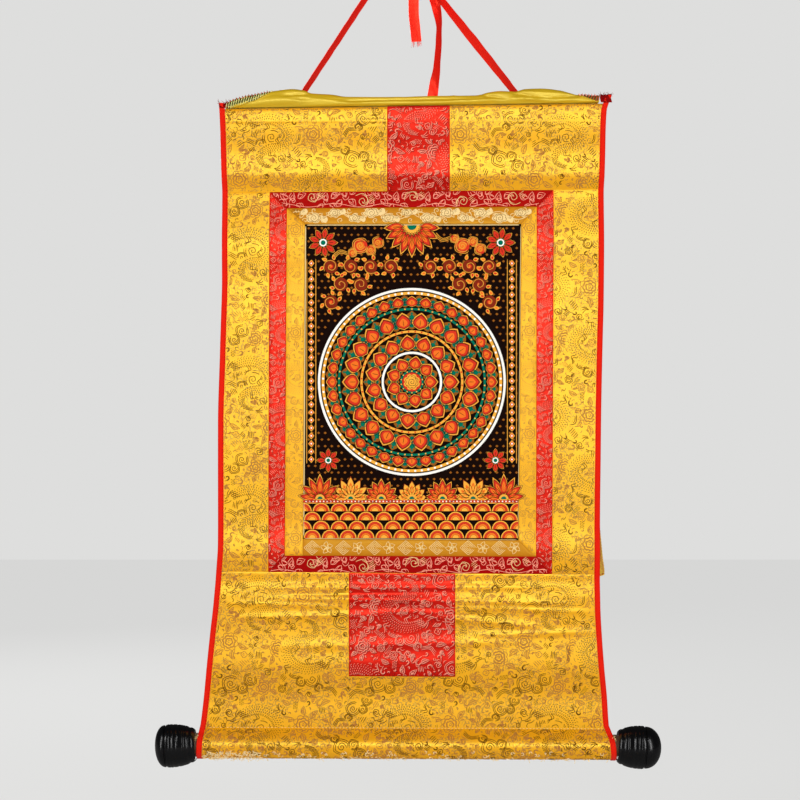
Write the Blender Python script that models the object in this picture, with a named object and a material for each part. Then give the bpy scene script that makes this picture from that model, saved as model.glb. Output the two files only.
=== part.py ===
# A thangka scroll painting: a printed panel in two brocade frames, mounted on yellow
# satin brocade, hung by a ribbon from one hook, with a roller and two knobs below.
# All sizes are in millimetres and become metres when a mesh is made. +X is the
# viewer's right, +Y is away from the viewer, +Z is up. The origin is the hook point,
# the underside of the hanging ribbon where it passes over its hook.

from collections import namedtuple
from math import acos, cos, exp, pi, radians, sin

import bmesh
import bpy
from mathutils import Matrix, Vector

METRES = 0.001

# Cloth
CLOTH = 1.0  # thickness of every sheet
GAP = 0.3  # between pieces that are sewn or laid together
SEAM = 0.15  # half of the gap between panels that are sewn edge to edge
PATCH_GAP = 0.42  # under a patch that is laid on curved cloth
DRAPE = 2.0  # what loose cloth keeps from the edges it falls over

# Top hem and its slat
SLAT_DEPTH = 3.0
SLAT_HEIGHT = 9.0
SLAT_INSET = 1.0  # from each end of the folded hem
HEM_FOOT = -166.0  # lower end of the turned-over flap
TOP_AT_HOOK = -150.3  # height of the top edge below the hook
TOP_SLOPE = 0.0145  # the top edge climbs to the right

# Panel seams: height at x = 0 and slope to the right
UPPER_SEAM = (-232.5, 0.0077)
LOWER_SEAM = (-603.5, -0.0080)
POCKET_SEAM = (-752.6, -0.0043)

# Side bindings
BINDING_WIDTH = 5.5
HEM_INSET = 6.4  # folded layers stay clear of the bindings' inner laps
LEFT_BINDING_TOP = -147.4
RIGHT_BINDING_TOP = -139.7

# Roller
ROD_RADIUS = 11.4
ROD_SIDES = 32
ROD_DROP = 0.1  # the rod lies on the bottom of its pocket
POCKET_RADIUS = 12.6  # to the middle of the cloth
POCKET_CENTRE = -770.7
POCKET_MIDDLE_Y = 0.75
POCKET_TURNS = 14
SEAM_LEAN = (0.75, 0.66)  # the way the cloth faces where hanging turns into pocket
LAYER_GAP = 0.5
FLAP_FOOT = POCKET_SEAM[0] + 1.5
FLAP_TOP = POCKET_SEAM[0] + 9.0
LAST_LEVEL = POCKET_SEAM[0] + 3.0  # lowest row of the cloth that hangs straight

# Knobs
SOCKET_RADIUS = 12.5
SOCKET_DEPTH = 15.0
ROD_IN_SOCKET = 14.0
KNOB_SIDES = 36
DOME_RINGS = 6

# Ribbons
RIBBON_WIDTH = 9.8
HOOK_RADIUS = 3.3  # of the bend over the hook, to the ribbon's underside
HOOK_LEFT = -56.0  # where the bend starts and ends, in degrees from straight up
HOOK_RIGHT = 50.7
HOOK_TURNS = 8
LEG_STEP = 11.0
TIE_STEP = 6.0

# Cover
COVER_WEST = -169.2
COVER_EAST = 193.5
COVER_SEAM_Y = 0.9  # its sewn edge, above the middle of the hem's front layer
COVER_RISE = 0.4  # of that edge above the hem
COVER_FRONT = -1.0  # the bend over the crest starts here, in y
COVER_BULGE = 0.6  # forward of the hem at its foot
COVER_LEAN = 0.1  # and for each millimetre that it rises
LOWEST_CREST = 2.0
COVER_FOOT = -617.0  # at its corners
COVER_FOOT_BOW = 4.0  # the middle of the foot is higher
COVER_SWAY = 0.9
COVER_COLUMN = 19.0
COVER_ROWS_BEHIND = 14

# The cover's lower right corner, which swings out past the binding
CORNER_WEST = 120.0
CORNER_TOP = -540.0
CORNER_REACH = 6.2
CORNER_LIFT = 11.0

# Mesh spacing
ROW = 10.0
FINE_ROW = 4.8
COLUMN = 40.0
FINE_COLUMN = 30.0
WRINKLES_END = -680.0

Edge = namedtuple("Edge", "z left right")
Wave = namedtuple("Wave", "z forward")
Crease = namedtuple("Crease", "x z slope reach half_width forward")
Crest = namedtuple("Crest", "x z")
Turn = namedtuple("Turn", "along radius")
Station = namedtuple("Station", "x y z across_x across_y across_z")
Knob = namedtuple("Knob", "name side standoff drum dome droop")

# Outline of the cloth outside its bindings. It flares to the roller.
OUTLINE = [
    Edge(-139.0, -176.0, 206.0),
    Edge(-147.0, -175.5, 203.2),
    Edge(-155.0, -174.8, 201.0),
    Edge(-198.0, -173.1, 199.3),
    Edge(-242.0, -172.2, 198.4),
    Edge(-314.0, -172.2, 198.4),
    Edge(-387.0, -174.1, 196.9),
    Edge(-460.0, -176.1, 195.5),
    Edge(-576.0, -176.1, 194.5),
    Edge(-605.0, -178.0, 194.5),
    Edge(-634.0, -180.4, 194.9),
    Edge(-664.0, -183.8, 196.4),
    Edge(-693.0, -186.7, 198.4),
    Edge(-722.0, -189.6, 201.3),
    Edge(-751.0, -193.0, 203.2),
    Edge(-765.0, -195.5, 208.3),
    Edge(-784.0, -196.6, 210.0),
]

# How far the cloth stands forward, a memory of having been rolled up.
WAVES = [
    Wave(-145.0, 0.0),
    Wave(-166.0, 0.0),
    Wave(-196.0, 2.6),
    Wave(-233.0, -1.6),
    Wave(-284.0, 1.8),
    Wave(-324.0, -0.6),
    Wave(-352.0, 1.0),
    Wave(-420.0, 0.2),
    Wave(-490.0, 1.0),
    Wave(-556.0, -0.2),
    Wave(-584.0, 1.2),
    Wave(-604.0, -1.6),
    Wave(-622.0, 0.6),
    Wave(-656.0, -0.2),
    Wave(-694.0, 1.8),
    Wave(-724.0, -0.8),
    Wave(-744.0, 0.0),
    Wave(-790.0, 0.0),
]

# Wrinkles of the bottom panel: middle, slope, half length, half width, height.
CREASES = [
    Crease(8.0, -614.0, 0.00, 160.0, 6.0, 0.6),
    Crease(20.0, -630.0, -0.01, 130.0, 6.0, 0.7),
    Crease(80.0, -650.0, -0.12, 50.0, 7.0, 0.6),
    Crease(-75.0, -647.0, 0.01, 70.0, 6.0, 0.6),
    Crease(0.0, -670.0, 0.02, 120.0, 6.5, 0.6),
]

# Crest of the cover where it is thrown over the top edge.
CRESTS = [
    Crest(-172.0, -150.4),
    Crest(-152.0, -145.6),
    Crest(-133.0, -140.4),
    Crest(-119.0, -135.6),
    Crest(-104.0, -133.4),
    Crest(-93.0, -134.8),
    Crest(-85.0, -137.6),
    Crest(-66.0, -138.8),
    Crest(-50.0, -141.2),
    Crest(-18.0, -141.6),
    Crest(25.0, -140.2),
    Crest(74.0, -139.6),
    Crest(86.0, -136.8),
    Crest(98.0, -135.3),
    Crest(112.0, -135.9),
    Crest(122.0, -133.4),
    Crest(137.0, -132.9),
    Crest(156.0, -134.8),
    Crest(171.0, -138.0),
    Crest(185.0, -142.8),
    Crest(194.0, -146.2),
]

# Knob profile from the end at the cloth, without its dome.
DRUM = [
    Turn(0.0, 14.6),
    Turn(1.2, 15.8),
    Turn(5.0, 17.3),
    Turn(6.0, 17.2),
    Turn(7.0, 18.0),
    Turn(12.0, 19.4),
    Turn(19.0, 20.5),
    Turn(26.0, 20.8),
    Turn(28.6, 20.4),
    Turn(29.2, 19.4),
    Turn(30.0, 19.4),
    Turn(30.6, 20.2),
]

# Each knob's side, distance from the bound edge, lengths, and droop in degrees.
KNOBS = [
    Knob("knob_left", -1, 1.2, 29.4, 9.8, 2.8),
    Knob("knob_right", 1, 1.4, 27.0, 15.4, 2.2),
]

# The hanging ribbon below its bend: place, and the direction across the ribbon.
LEFT_LEG = [
    Station(-106.0, 9.6, -160.0, 0.80, 0.00, -0.60),
    Station(-101.5, 9.9, -150.0, 0.82, 0.10, -0.55),
    Station(-92.8, 13.3, -134.0, 0.36, 0.90, -0.24),
    Station(-67.5, 8.4, -96.5, 0.38, 0.89, -0.25),
    Station(-34.6, 3.6, -47.5, 0.40, 0.88, -0.26),
    Station(-13.0, 0.8, -15.7, 0.18, 0.98, -0.12),
]
RIGHT_LEG = [
    Station(14.3, 0.8, -14.8, -0.16, 0.98, -0.13),
    Station(41.1, 3.4, -47.5, -0.42, 0.84, -0.34),
    Station(71.6, 6.8, -85.0, -0.60, 0.64, -0.49),
    Station(113.0, 13.3, -135.5, -0.38, 0.87, -0.31),
    Station(124.5, 9.9, -150.0, -0.77, 0.10, -0.63),
    Station(131.0, 9.6, -158.0, -0.77, 0.00, -0.64),
]

# The tie ribbon: up from the hem, over the right leg of the hanging ribbon, and down.
TIE = [
    Station(32.0, 9.1, -163.0, 1.00, 0.00, 0.00),
    Station(32.0, 9.2, -141.0, 1.00, 0.05, 0.00),
    Station(36.4, 10.6, -111.5, 0.63, 0.77, 0.00),
    Station(38.6, 11.0, -72.0, 0.50, 0.87, 0.00),
    Station(34.6, 10.4, -47.5, 0.96, 0.28, 0.00),
    Station(26.0, 9.6, -28.0, 0.78, 0.00, -0.62),
    Station(19.6, 7.6, -18.6, 0.64, 0.00, -0.77),
    Station(18.9, 4.6, -15.8, 0.64, 0.00, -0.77),
    Station(18.7, -4.6, -15.8, 0.64, 0.00, -0.77),
    Station(18.2, -7.4, -18.8, 0.68, 0.00, -0.73),
    Station(15.6, -8.2, -30.0, 0.90, 0.00, -0.43),
    Station(13.6, -7.6, -47.5, 1.00, 0.05, 0.00),
    Station(14.2, -7.0, -67.0, 0.99, 0.12, 0.00),
    Station(16.6, -6.4, -89.0, 0.97, 0.24, 0.00),
]


# ---- reading the tables -------------------------------------------------------------

def smooth(table, at, column):
    """Value of a column at a place, on a smooth curve through the table's rows."""
    keys = [row[0] for row in table]
    values = [getattr(row, column) for row in table]
    if keys[0] > keys[-1]:
        keys.reverse()
        values.reverse()
    if at <= keys[0]:
        return values[0]
    if at >= keys[-1]:
        return values[-1]
    i = max(k for k in range(len(keys)) if keys[k] <= at)
    i = min(i, len(keys) - 2)
    span = keys[i + 1] - keys[i]
    t = (at - keys[i]) / span

    def slope(k):
        if k == 0 or k == len(keys) - 1:
            return 0.0
        before = (values[k] - values[k - 1]) / (keys[k] - keys[k - 1])
        after = (values[k + 1] - values[k]) / (keys[k + 1] - keys[k])
        if before * after <= 0:
            return 0.0
        return 2 * before * after / (before + after)

    return (
        (2 * t ** 3 - 3 * t ** 2 + 1) * values[i]
        + (t ** 3 - 2 * t ** 2 + t) * span * slope(i)
        + (-2 * t ** 3 + 3 * t ** 2) * values[i + 1]
        + (t ** 3 - t ** 2) * span * slope(i + 1)
    )


def top_edge(x):
    return TOP_AT_HOOK + TOP_SLOPE * x


def steps(start, end, spacing):
    count = max(1, round(abs(end - start) / spacing))
    return [start + (end - start) * i / count for i in range(count + 1)]


def height(level, x):
    """Height at x of a row of the cloth whose height at x = 0 is level. Rows turn
    gradually from the slope of one seam to that of the next."""
    seams = [(HEM_FOOT, 0.0), UPPER_SEAM, LOWER_SEAM, POCKET_SEAM]
    if level >= HEM_FOOT:
        return level
    for (above, slope_above), (below, slope_below) in zip(seams, seams[1:]):
        if level >= below:
            share = (above - level) / (above - below)
            return level + x * (slope_above * (1 - share) + slope_below * share)
    return level + x * POCKET_SEAM[1]


def left_edge(level):
    return smooth(OUTLINE, height(level, OUTLINE[-1].left), "left")


def right_edge(level):
    return smooth(OUTLINE, height(level, OUTLINE[-1].right), "right")


def cloth_y(x, z):
    """Depth of the middle of the hanging cloth; it comes forward at -Y."""
    forward = smooth(WAVES, z, "forward")
    for crease in CREASES:
        off = (z - crease.z - crease.slope * (x - crease.x)) / crease.half_width
        along = abs(x - crease.x) / crease.reach
        if abs(off) < 3 and along < 1:
            forward += crease.forward * exp(-off * off) * (1 - along ** 4)
    return -forward


# ---- making meshes ------------------------------------------------------------------

def material(name, colour, roughness, metallic=0.0):
    made = bpy.data.materials.get(name) or bpy.data.materials.new(name)
    made.use_nodes = True
    shader = made.node_tree.nodes["Principled BSDF"]
    shader.inputs["Base Color"].default_value = (*colour, 1.0)
    shader.inputs["Roughness"].default_value = roughness
    shader.inputs["Metallic"].default_value = metallic
    return made


def yellow_brocade():
    return material("yellow_brocade", (0.80, 0.46, 0.03), 0.45)


def red_brocade():
    return material("red_brocade", (0.70, 0.02, 0.02), 0.45)


def gold_brocade():
    return material("gold_brocade", (0.76, 0.42, 0.05), 0.45)


def print_cloth():
    return material("print_cloth", (0.20, 0.07, 0.03), 0.6)


def red_tape():
    return material("red_tape", (0.72, 0.03, 0.02), 0.5)


def red_ribbon():
    return material("red_ribbon", (0.75, 0.03, 0.02), 0.35)


def cover_satin():
    return material("cover_satin", (0.62, 0.48, 0.05), 0.4)


def black_lacquer():
    return material("black_lacquer", (0.01, 0.01, 0.012), 0.2)


def plain_wood():
    return material("plain_wood", (0.72, 0.62, 0.46), 0.7)


def add_object(name, points, faces, finish):
    mesh = bpy.data.meshes.new(name)
    mesh.from_pydata([Vector(p) * METRES for p in points], [], faces)
    mesh.validate()
    mesh.materials.append(finish)
    made = bpy.data.objects.new(name, mesh)
    bpy.context.scene.collection.objects.link(made)
    face_out(mesh)
    return made


def face_out(mesh):
    """Turn a closed mesh's faces outwards."""
    work = bmesh.new()
    work.from_mesh(mesh)
    bmesh.ops.triangulate(work, faces=work.faces[:])
    bmesh.ops.recalc_face_normals(work, faces=work.faces[:])
    work.to_mesh(mesh)
    work.free()


def add_slab(name, front, back, finish):
    """A closed sheet between two grids of points with the same rows and columns."""
    rows = len(front)
    columns = len(front[0])
    points = [p for row in front for p in row] + [p for row in back for p in row]
    behind = rows * columns

    def at(i, j):
        return i * columns + j

    faces = []
    for i in range(rows - 1):
        for j in range(columns - 1):
            quad = (at(i, j), at(i, j + 1), at(i + 1, j + 1), at(i + 1, j))
            faces.append(quad)
            faces.append(tuple(behind + k for k in reversed(quad)))
    rim = [at(0, j) for j in range(columns)]
    rim += [at(i, columns - 1) for i in range(1, rows)]
    rim += [at(rows - 1, j) for j in range(columns - 2, -1, -1)]
    rim += [at(i, 0) for i in range(rows - 2, 0, -1)]
    for a, b in zip(rim, rim[1:] + rim[:1]):
        faces.append((a, behind + a, behind + b, b))
    return add_object(name, points, faces, finish)


def add_sweep(name, sections, caps, finish):
    """A closed bar through sections with the same number of points."""
    count = len(sections[0])
    points = [p for section in sections for p in section]
    faces = []
    for i in range(len(sections) - 1):
        for j in range(count):
            k = (j + 1) % count
            faces.append((i * count + j, i * count + k, (i + 1) * count + k, (i + 1) * count + j))
    last = (len(sections) - 1) * count
    for cap in caps:
        faces.append(tuple(reversed(cap)))
        faces.append(tuple(last + j for j in cap))
    return add_object(name, points, faces, finish)


def add_patch(name, corners, finish):
    """A flat-cut piece of the hanging cloth, from its four corners: upper left, upper
    right, lower right, lower left."""
    upper_left, upper_right, lower_right, lower_left = [Vector(c) for c in corners]
    tall = max((upper_left - lower_left).length, (upper_right - lower_right).length)
    wide = max((upper_left - upper_right).length, (lower_left - lower_right).length)
    rows = []
    for v in steps(0.0, 1.0, ROW / tall):
        west = upper_left.lerp(lower_left, v)
        east = upper_right.lerp(lower_right, v)
        rows.append([west.lerp(east, u) for u in steps(0.0, 1.0, COLUMN / wide)])
    front = [[(p.x, cloth_y(*p) - CLOTH / 2, p.y) for p in row] for row in rows]
    back = [[(p.x, cloth_y(*p) + CLOTH / 2, p.y) for p in row] for row in rows]
    return add_slab(name, front, back, finish)


def sheet_row(west, east, count, place):
    """One row of a sheet's front and back points. Place gives, for x, the middle's y
    and z and the direction out of the front."""
    front = []
    back = []
    for j in range(count + 1):
        x = west + (east - west) * j / count
        y, z, out_y, out_z = place(x)
        front.append((x, y + out_y * CLOTH / 2, z + out_z * CLOTH / 2))
        back.append((x, y - out_y * CLOTH / 2, z - out_z * CLOTH / 2))
    return front, back


def hanging(level, forward=0.0):
    """Place of a row that hangs flat, or stands forward as a patch does."""
    def place(x):
        z = height(level, x)
        return cloth_y(x, z) - forward, z, -1.0, 0.0
    return place


def add_rows(name, rows, finish):
    front, back = zip(*rows)
    return add_slab(name, front, back, finish)


# ---- the cloth ----------------------------------------------------------------------

# Frames: corners in the order upper left, upper right, lower right, lower left.
RED_OUTER = [(-126.2, -233.5), (149.7, -231.3), (148.1, -604.7), (-127.4, -602.5)]
GOLD_OUTER = [(-109.2, -249.4), (133.1, -247.7), (132.3, -587.2), (-111.2, -586.3)]
PICTURE = [(-91.8, -265.0), (118.2, -264.8), (115.5, -571.6), (-93.7, -570.2)]

# Doors: left and right edge, and for the lower one its foot.
TOP_DOOR = (-11.9, 48.7)
BOTTOM_DOOR = (-49.0, 54.0)
BOTTOM_DOOR_FOOT = -703.3


def shrink(corners, by=SEAM):
    """Move four corners inwards, so that neighbours keep their gap."""
    signs = [(1, -1), (-1, -1), (-1, 1), (1, 1)]
    return [(x + sx * by, z + sz * by) for (x, z), (sx, sz) in zip(corners, signs)]


def panel_left(level):
    """Left edge of the yellow cloth, inside its binding."""
    return left_edge(level) + CLOTH + GAP


def panel_right(level):
    return right_edge(level) - CLOTH - GAP


# Rows of the cloth, shared by all that is sewn to it.
TOP_LEVELS = steps(HEM_FOOT, UPPER_SEAM[0], ROW)
SIDE_LEVELS = steps(UPPER_SEAM[0], LOWER_SEAM[0], ROW)
FOOT_LEVELS = steps(LOWER_SEAM[0], WRINKLES_END, FINE_ROW)
FOOT_LEVELS += steps(WRINKLES_END, LAST_LEVEL, ROW)[1:]

HEM_RADIUS = (CLOTH + 2 * GAP + SLAT_DEPTH) / 2  # to the middle of the folded cloth


def seamed(levels, upper, lower):
    """Levels of a piece between its seams, moved in by each seam's gap."""
    return [levels[0] - upper] + levels[1:-1] + [levels[-1] + lower]


def make_top_panel():
    """Brocade from the hem's flap, over the slat and down to the upper seam."""
    west = panel_left(HEM_FOOT) + HEM_INSET
    east = panel_right(HEM_FOOT) - HEM_INSET
    columns = round((east - west) / COLUMN)

    def bend(angle):
        def place(x):
            middle = top_edge(x) - CLOTH / 2 - HEM_RADIUS
            out_y, out_z = cos(angle), sin(angle)
            return HEM_RADIUS * (1 + out_y), middle + HEM_RADIUS * out_z, out_y, out_z
        return place

    rows = [sheet_row(west, east, columns, lambda x: (2 * HEM_RADIUS, HEM_FOOT, 1.0, 0.0))]
    for angle in steps(0.0, pi, pi / 6):
        rows.append(sheet_row(west, east, columns, bend(angle)))
    for level in seamed(TOP_LEVELS, 0.0, SEAM):
        rows.append(sheet_row(panel_left(level), panel_right(level), columns, hanging(level)))
    add_rows("top_panel", rows, yellow_brocade())


def make_slat():
    """The straight slat inside the top hem."""
    west = panel_left(HEM_FOOT) + HEM_INSET + SLAT_INSET
    east = panel_right(HEM_FOOT) - HEM_INSET - SLAT_INSET
    near = HEM_RADIUS - SLAT_DEPTH / 2
    far = HEM_RADIUS + SLAT_DEPTH / 2
    sections = []
    for x in (west, east):
        top = top_edge(x) - CLOTH / 2 - HEM_RADIUS + GAP
        foot = top - SLAT_HEIGHT
        sections.append([(x, near, top), (x, far, top), (x, far, foot), (x, near, foot)])
    add_sweep("top_slat", sections, [(0, 1, 2, 3)], plain_wood())


def make_side_strips():
    left = []
    right = []
    for level in seamed(SIDE_LEVELS, SEAM, SEAM):
        share = (level - UPPER_SEAM[0]) / (LOWER_SEAM[0] - UPPER_SEAM[0])
        west = RED_OUTER[0][0] + (RED_OUTER[3][0] - RED_OUTER[0][0]) * share
        east = RED_OUTER[1][0] + (RED_OUTER[2][0] - RED_OUTER[1][0]) * share
        left.append(sheet_row(panel_left(level), west - SEAM, 1, hanging(level)))
        right.append(sheet_row(east + SEAM, panel_right(level), 1, hanging(level)))
    add_rows("side_strip_left", left, yellow_brocade())
    add_rows("side_strip_right", right, yellow_brocade())


def between(outer, inner, name, finish, butted=False):
    """Four strips between two outlines, mitred at the corners. At a butted lower left
    corner the left strip runs down to the foot and the bottom one ends against it."""
    out_ul, out_ur, out_lr, out_ll = shrink(outer)
    in_ul, in_ur, in_lr, in_ll = shrink(inner, -SEAM)
    cut = SEAM * 1.5

    def across(corner, way):
        return corner[0] + way * cut, corner[1]

    def along(corner, way):
        return corner[0], corner[1] + way * cut

    top = [across(out_ul, 1), across(out_ur, -1), across(in_ur, -1), across(in_ul, 1)]
    bottom = [across(in_ll, 1), across(in_lr, -1), across(out_lr, -1), across(out_ll, 1)]
    left = [along(out_ul, -1), along(in_ul, -1), along(in_ll, 1), along(out_ll, 1)]
    right = [along(in_ur, -1), along(out_ur, -1), along(out_lr, 1), along(in_lr, 1)]
    if butted:
        bottom[3] = (in_ll[0] + cut, out_ll[1])
        left[2:] = [(in_ll[0] - cut, out_ll[1]), out_ll]
    add_patch(name + "_top", top, finish)
    add_patch(name + "_bottom", bottom, finish)
    add_patch(name + "_left", left, finish)
    add_patch(name + "_right", right, finish)


def make_frames_and_picture():
    between(RED_OUTER, GOLD_OUTER, "red_frame", red_brocade())
    between(GOLD_OUTER, PICTURE, "gold_frame", gold_brocade(), butted=True)
    add_patch("picture_panel", shrink(PICTURE), print_cloth())


def pocket_path():
    """The cloth's middle round the roller: y, z and outward normal, from the seam's
    front to the seam's back, for x = 0."""
    centre = Vector((POCKET_MIDDLE_Y, POCKET_CENTRE))
    seam = Vector((0.0, POCKET_SEAM[0]))
    away = seam - centre
    lean = acos(POCKET_RADIUS / away.length)
    path = [(seam.x, seam.y, -SEAM_LEAN[0], SEAM_LEAN[1])]
    for angle in steps(lean, 2 * pi - lean, (2 * pi - 2 * lean) / POCKET_TURNS):
        ny = -sin(angle)
        nz = cos(angle)
        path.append((centre.x + POCKET_RADIUS * ny, centre.y + POCKET_RADIUS * nz, ny, nz))
    path.append((2 * POCKET_MIDDLE_Y, seam.y, *SEAM_LEAN))
    return path


def make_bottom_panel():
    """Brocade from the lower seam down, round the roller and up again as a flap."""
    columns = round((panel_right(POCKET_CENTRE) - panel_left(POCKET_CENTRE)) / FINE_COLUMN)
    rows = []
    for level in seamed(FOOT_LEVELS, SEAM, 0.0):
        rows.append(sheet_row(panel_left(level), panel_right(level), columns, hanging(level)))
    round_roller = pocket_path()
    for y, level, out_y, out_z in round_roller:
        inset = HEM_INSET if (y, level) == round_roller[-1][:2] else 0.0
        west = panel_left(level) + inset
        east = panel_right(level) - inset
        rows.append(sheet_row(west, east, columns, pocket_row(y, level, out_y, out_z)))
    for level in (FLAP_FOOT, FLAP_TOP):
        west = panel_left(level) + HEM_INSET
        east = panel_right(level) - HEM_INSET
        rows.append(sheet_row(west, east, columns, pocket_row(CLOTH + LAYER_GAP, level, 1.0, 0.0)))
    add_rows("bottom_panel", rows, yellow_brocade())


def pocket_row(y, level, out_y, out_z):
    return lambda x: (y, level + POCKET_SEAM[1] * x, out_y, out_z)


def make_doors():
    """The two red patches, on top of the yellow cloth."""
    on_top = CLOTH + PATCH_GAP
    west, east = TOP_DOOR
    rows = [sheet_row(west, east, 2, lambda x: (-on_top, top_edge(x) - GAP, -1.0, 0.0))]
    for level in seamed(TOP_LEVELS, 0.0, SEAM):
        rows.append(sheet_row(west, east, 2, hanging(level, on_top)))
    add_rows("top_door", rows, red_brocade())
    west, east = BOTTOM_DOOR
    rows = []
    for level in seamed(FOOT_LEVELS, SEAM, 0.0):
        if level > BOTTOM_DOOR_FOOT + ROW / 2:
            rows.append(sheet_row(west, east, 4, hanging(level, on_top)))
    rows.append(sheet_row(west, east, 4, hanging(BOTTOM_DOOR_FOOT, on_top)))
    add_rows("bottom_door", rows, red_brocade())


def make_binding(name, edge, inward, top):
    """Tape folded over one long edge: a front lap, an edge and, above the pocket, a
    back lap. It goes on round the roller."""
    lap = CLOTH / 2 + GAP
    crown = lap + CLOTH
    channel = [(0, crown), (BINDING_WIDTH, crown), (BINDING_WIDTH, lap), (CLOTH, lap),
               (CLOTH, -lap), (BINDING_WIDTH, -lap), (BINDING_WIDTH, -crown), (0, -crown)]
    trimmed = channel[:5] + [(CLOTH + SEAM, -lap), (CLOTH + SEAM, -crown), (0, -crown)]
    rear = -0.6 * CLOTH
    folded = channel[:4] + [(CLOTH, 0.7 * rear), (CLOTH, 0.85 * rear), (CLOTH, rear), (0, rear)]
    levels = [top] + TOP_LEVELS + SIDE_LEVELS[1:] + FOOT_LEVELS[1:]
    path = []
    for level in levels:
        outer = edge(level)
        path.append((outer, *hanging(level)(outer), channel))
    outer = (edge(levels[-1]) + edge(POCKET_SEAM[0])) / 2
    path.append((outer, *hanging(FLAP_FOOT)(outer), trimmed))
    for y, level, out_y, out_z in pocket_path()[:-2]:
        outer = edge(level)
        path.append((outer, *pocket_row(y, level, out_y, out_z)(outer), folded))
    sections = [
        [(outer + inward * d, y + out_y * n, z + out_z * n) for d, n in shape]
        for outer, y, z, out_y, out_z, shape in path
    ]
    caps = [(0, 1, 2, 3), (0, 3, 4, 7), (4, 5, 6, 7)]
    add_sweep(name, sections, caps, red_tape())


def cover_section(x):
    """The cover's middle at x, as y and z: from its sewn edge over its crest to its
    foot, clear of the hem's back."""
    behind = CLOTH / 2 + 2 * HEM_RADIUS + DRAPE + CLOTH / 2
    base = top_edge(x) + COVER_RISE + CLOTH / 2
    crest = max(smooth(CRESTS, x, "z") - CLOTH / 2, base + LOWEST_CREST)
    tall = crest - base
    radius = min((behind - COVER_FRONT) / 2, tall)
    shoulder = crest - radius
    middle = behind - radius
    bulge = COVER_BULGE + COVER_LEAN * tall
    points = [(COVER_SEAM_Y, base), (-bulge, base + 0.45 * (tall - radius))]
    for angle in steps(pi, 0.0, pi / 6):
        points.append((middle + radius * cos(angle), shoulder + radius * sin(angle)))
    share = (x - COVER_WEST) / (COVER_EAST - COVER_WEST)
    foot = COVER_FOOT + COVER_FOOT_BOW * sin(pi * share)
    wave = 1 + sin(2.3 * pi * share + 1.0)
    for down in steps(0.0, 1.0, 1 / COVER_ROWS_BEHIND)[1:]:
        sway = COVER_SWAY * wave * min(1.0, 3 * down)
        points.append((behind + sway, shoulder + (foot - shoulder) * down))
    return points


def make_cover():
    """Thin satin sewn along the top edge, thrown up and over it and down the back."""
    columns = steps(COVER_WEST, COVER_EAST, COVER_COLUMN)
    sections = [cover_section(x) for x in columns]
    rows = []
    for i in range(len(sections[0])):
        front = []
        back = []
        for x, points in zip(columns, sections):
            before = points[max(0, i - 1)]
            after = points[min(len(points) - 1, i + 1)]
            along = Vector((after[0] - before[0], after[1] - before[1])).normalized()
            out = Vector((-along.y, along.x)) * CLOTH / 2
            y, z = points[i]
            moved_x, moved_z = cover_corner(x, z)
            front.append((moved_x, y + out.x, moved_z + out.y))
            back.append((moved_x, y - out.x, moved_z - out.y))
        rows.append((front, back))
    add_rows("cover", rows, cover_satin())


def cover_corner(x, z):
    """Where a point of the cover goes when its lower right corner swings out and up."""
    share = max(0.0, (x - CORNER_WEST) / (COVER_EAST - CORNER_WEST))
    low = max(0.0, min(1.0, (CORNER_TOP - z) / 66.0))
    tip = max(0.0, share - 0.6) / 0.4 * max(0.0, min(1.0, (CORNER_TOP - 50.0 - z) / 27.0))
    return x + CORNER_REACH * share * low, z + CORNER_LIFT * tip


# ---- the ribbons --------------------------------------------------------------------

def spline(stations, pieces):
    """Points on a smooth curve through the stations, with the direction across."""
    rows = [Vector(s[:3]) for s in stations]
    across = [Vector(s[3:]).normalized() for s in stations]
    made = []
    for i in range(len(rows) - 1):
        p0 = rows[max(0, i - 1)]
        p1, p2 = rows[i], rows[i + 1]
        p3 = rows[min(len(rows) - 1, i + 2)]
        first = (p2 - p0) * 0.5
        second = (p3 - p1) * 0.5
        span = (p2 - p1).length
        first = first.normalized() * min(first.length, span)
        second = second.normalized() * min(second.length, span)
        count = max(1, round(span / pieces))
        for k in range(count):
            t = k / count
            place = (
                p1 * (2 * t ** 3 - 3 * t ** 2 + 1) + first * (t ** 3 - 2 * t ** 2 + t)
                + p2 * (-2 * t ** 3 + 3 * t ** 2) + second * (t ** 3 - t ** 2)
            )
            made.append((place, across[i].lerp(across[i + 1], t)))
    made.append((rows[-1], across[-1]))
    return made


def add_ribbon(name, run):
    """A flat band along a run of places and directions across it."""
    sections = []
    for i, (place, across) in enumerate(run):
        ahead = run[min(i + 1, len(run) - 1)][0] - run[max(i - 1, 0)][0]
        ahead.normalize()
        side = (across - ahead * across.dot(ahead)).normalized() * (RIBBON_WIDTH / 2)
        face = ahead.cross(side).normalized() * (CLOTH / 2)
        sections.append([place + side + face, place - side + face,
                         place - side - face, place + side - face])
    add_sweep(name, sections, [(0, 1, 2, 3)], red_ribbon())


def hook_bend():
    """The ribbon's bend over the hook, between its two legs."""
    centre = Vector((0.0, 0.0, -HOOK_RADIUS))
    radius = HOOK_RADIUS + CLOTH / 2
    made = []
    for turn in steps(HOOK_LEFT, HOOK_RIGHT, (HOOK_RIGHT - HOOK_LEFT) / HOOK_TURNS):
        angle = radians(turn)
        place = centre + Vector((sin(angle), 0.0, cos(angle))) * radius
        made.append((place, Vector((0.0, 1.0, 0.0))))
    return made


def make_ribbons():
    left = spline(LEFT_LEG, LEG_STEP)
    right = spline(RIGHT_LEG, LEG_STEP)
    add_ribbon("hanging_ribbon", left + hook_bend() + right)
    add_ribbon("tie_ribbon", spline(TIE, TIE_STEP))


# ---- the roller ---------------------------------------------------------------------

def rod_z(x):
    return POCKET_CENTRE - ROD_DROP + POCKET_SEAM[1] * x


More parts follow.
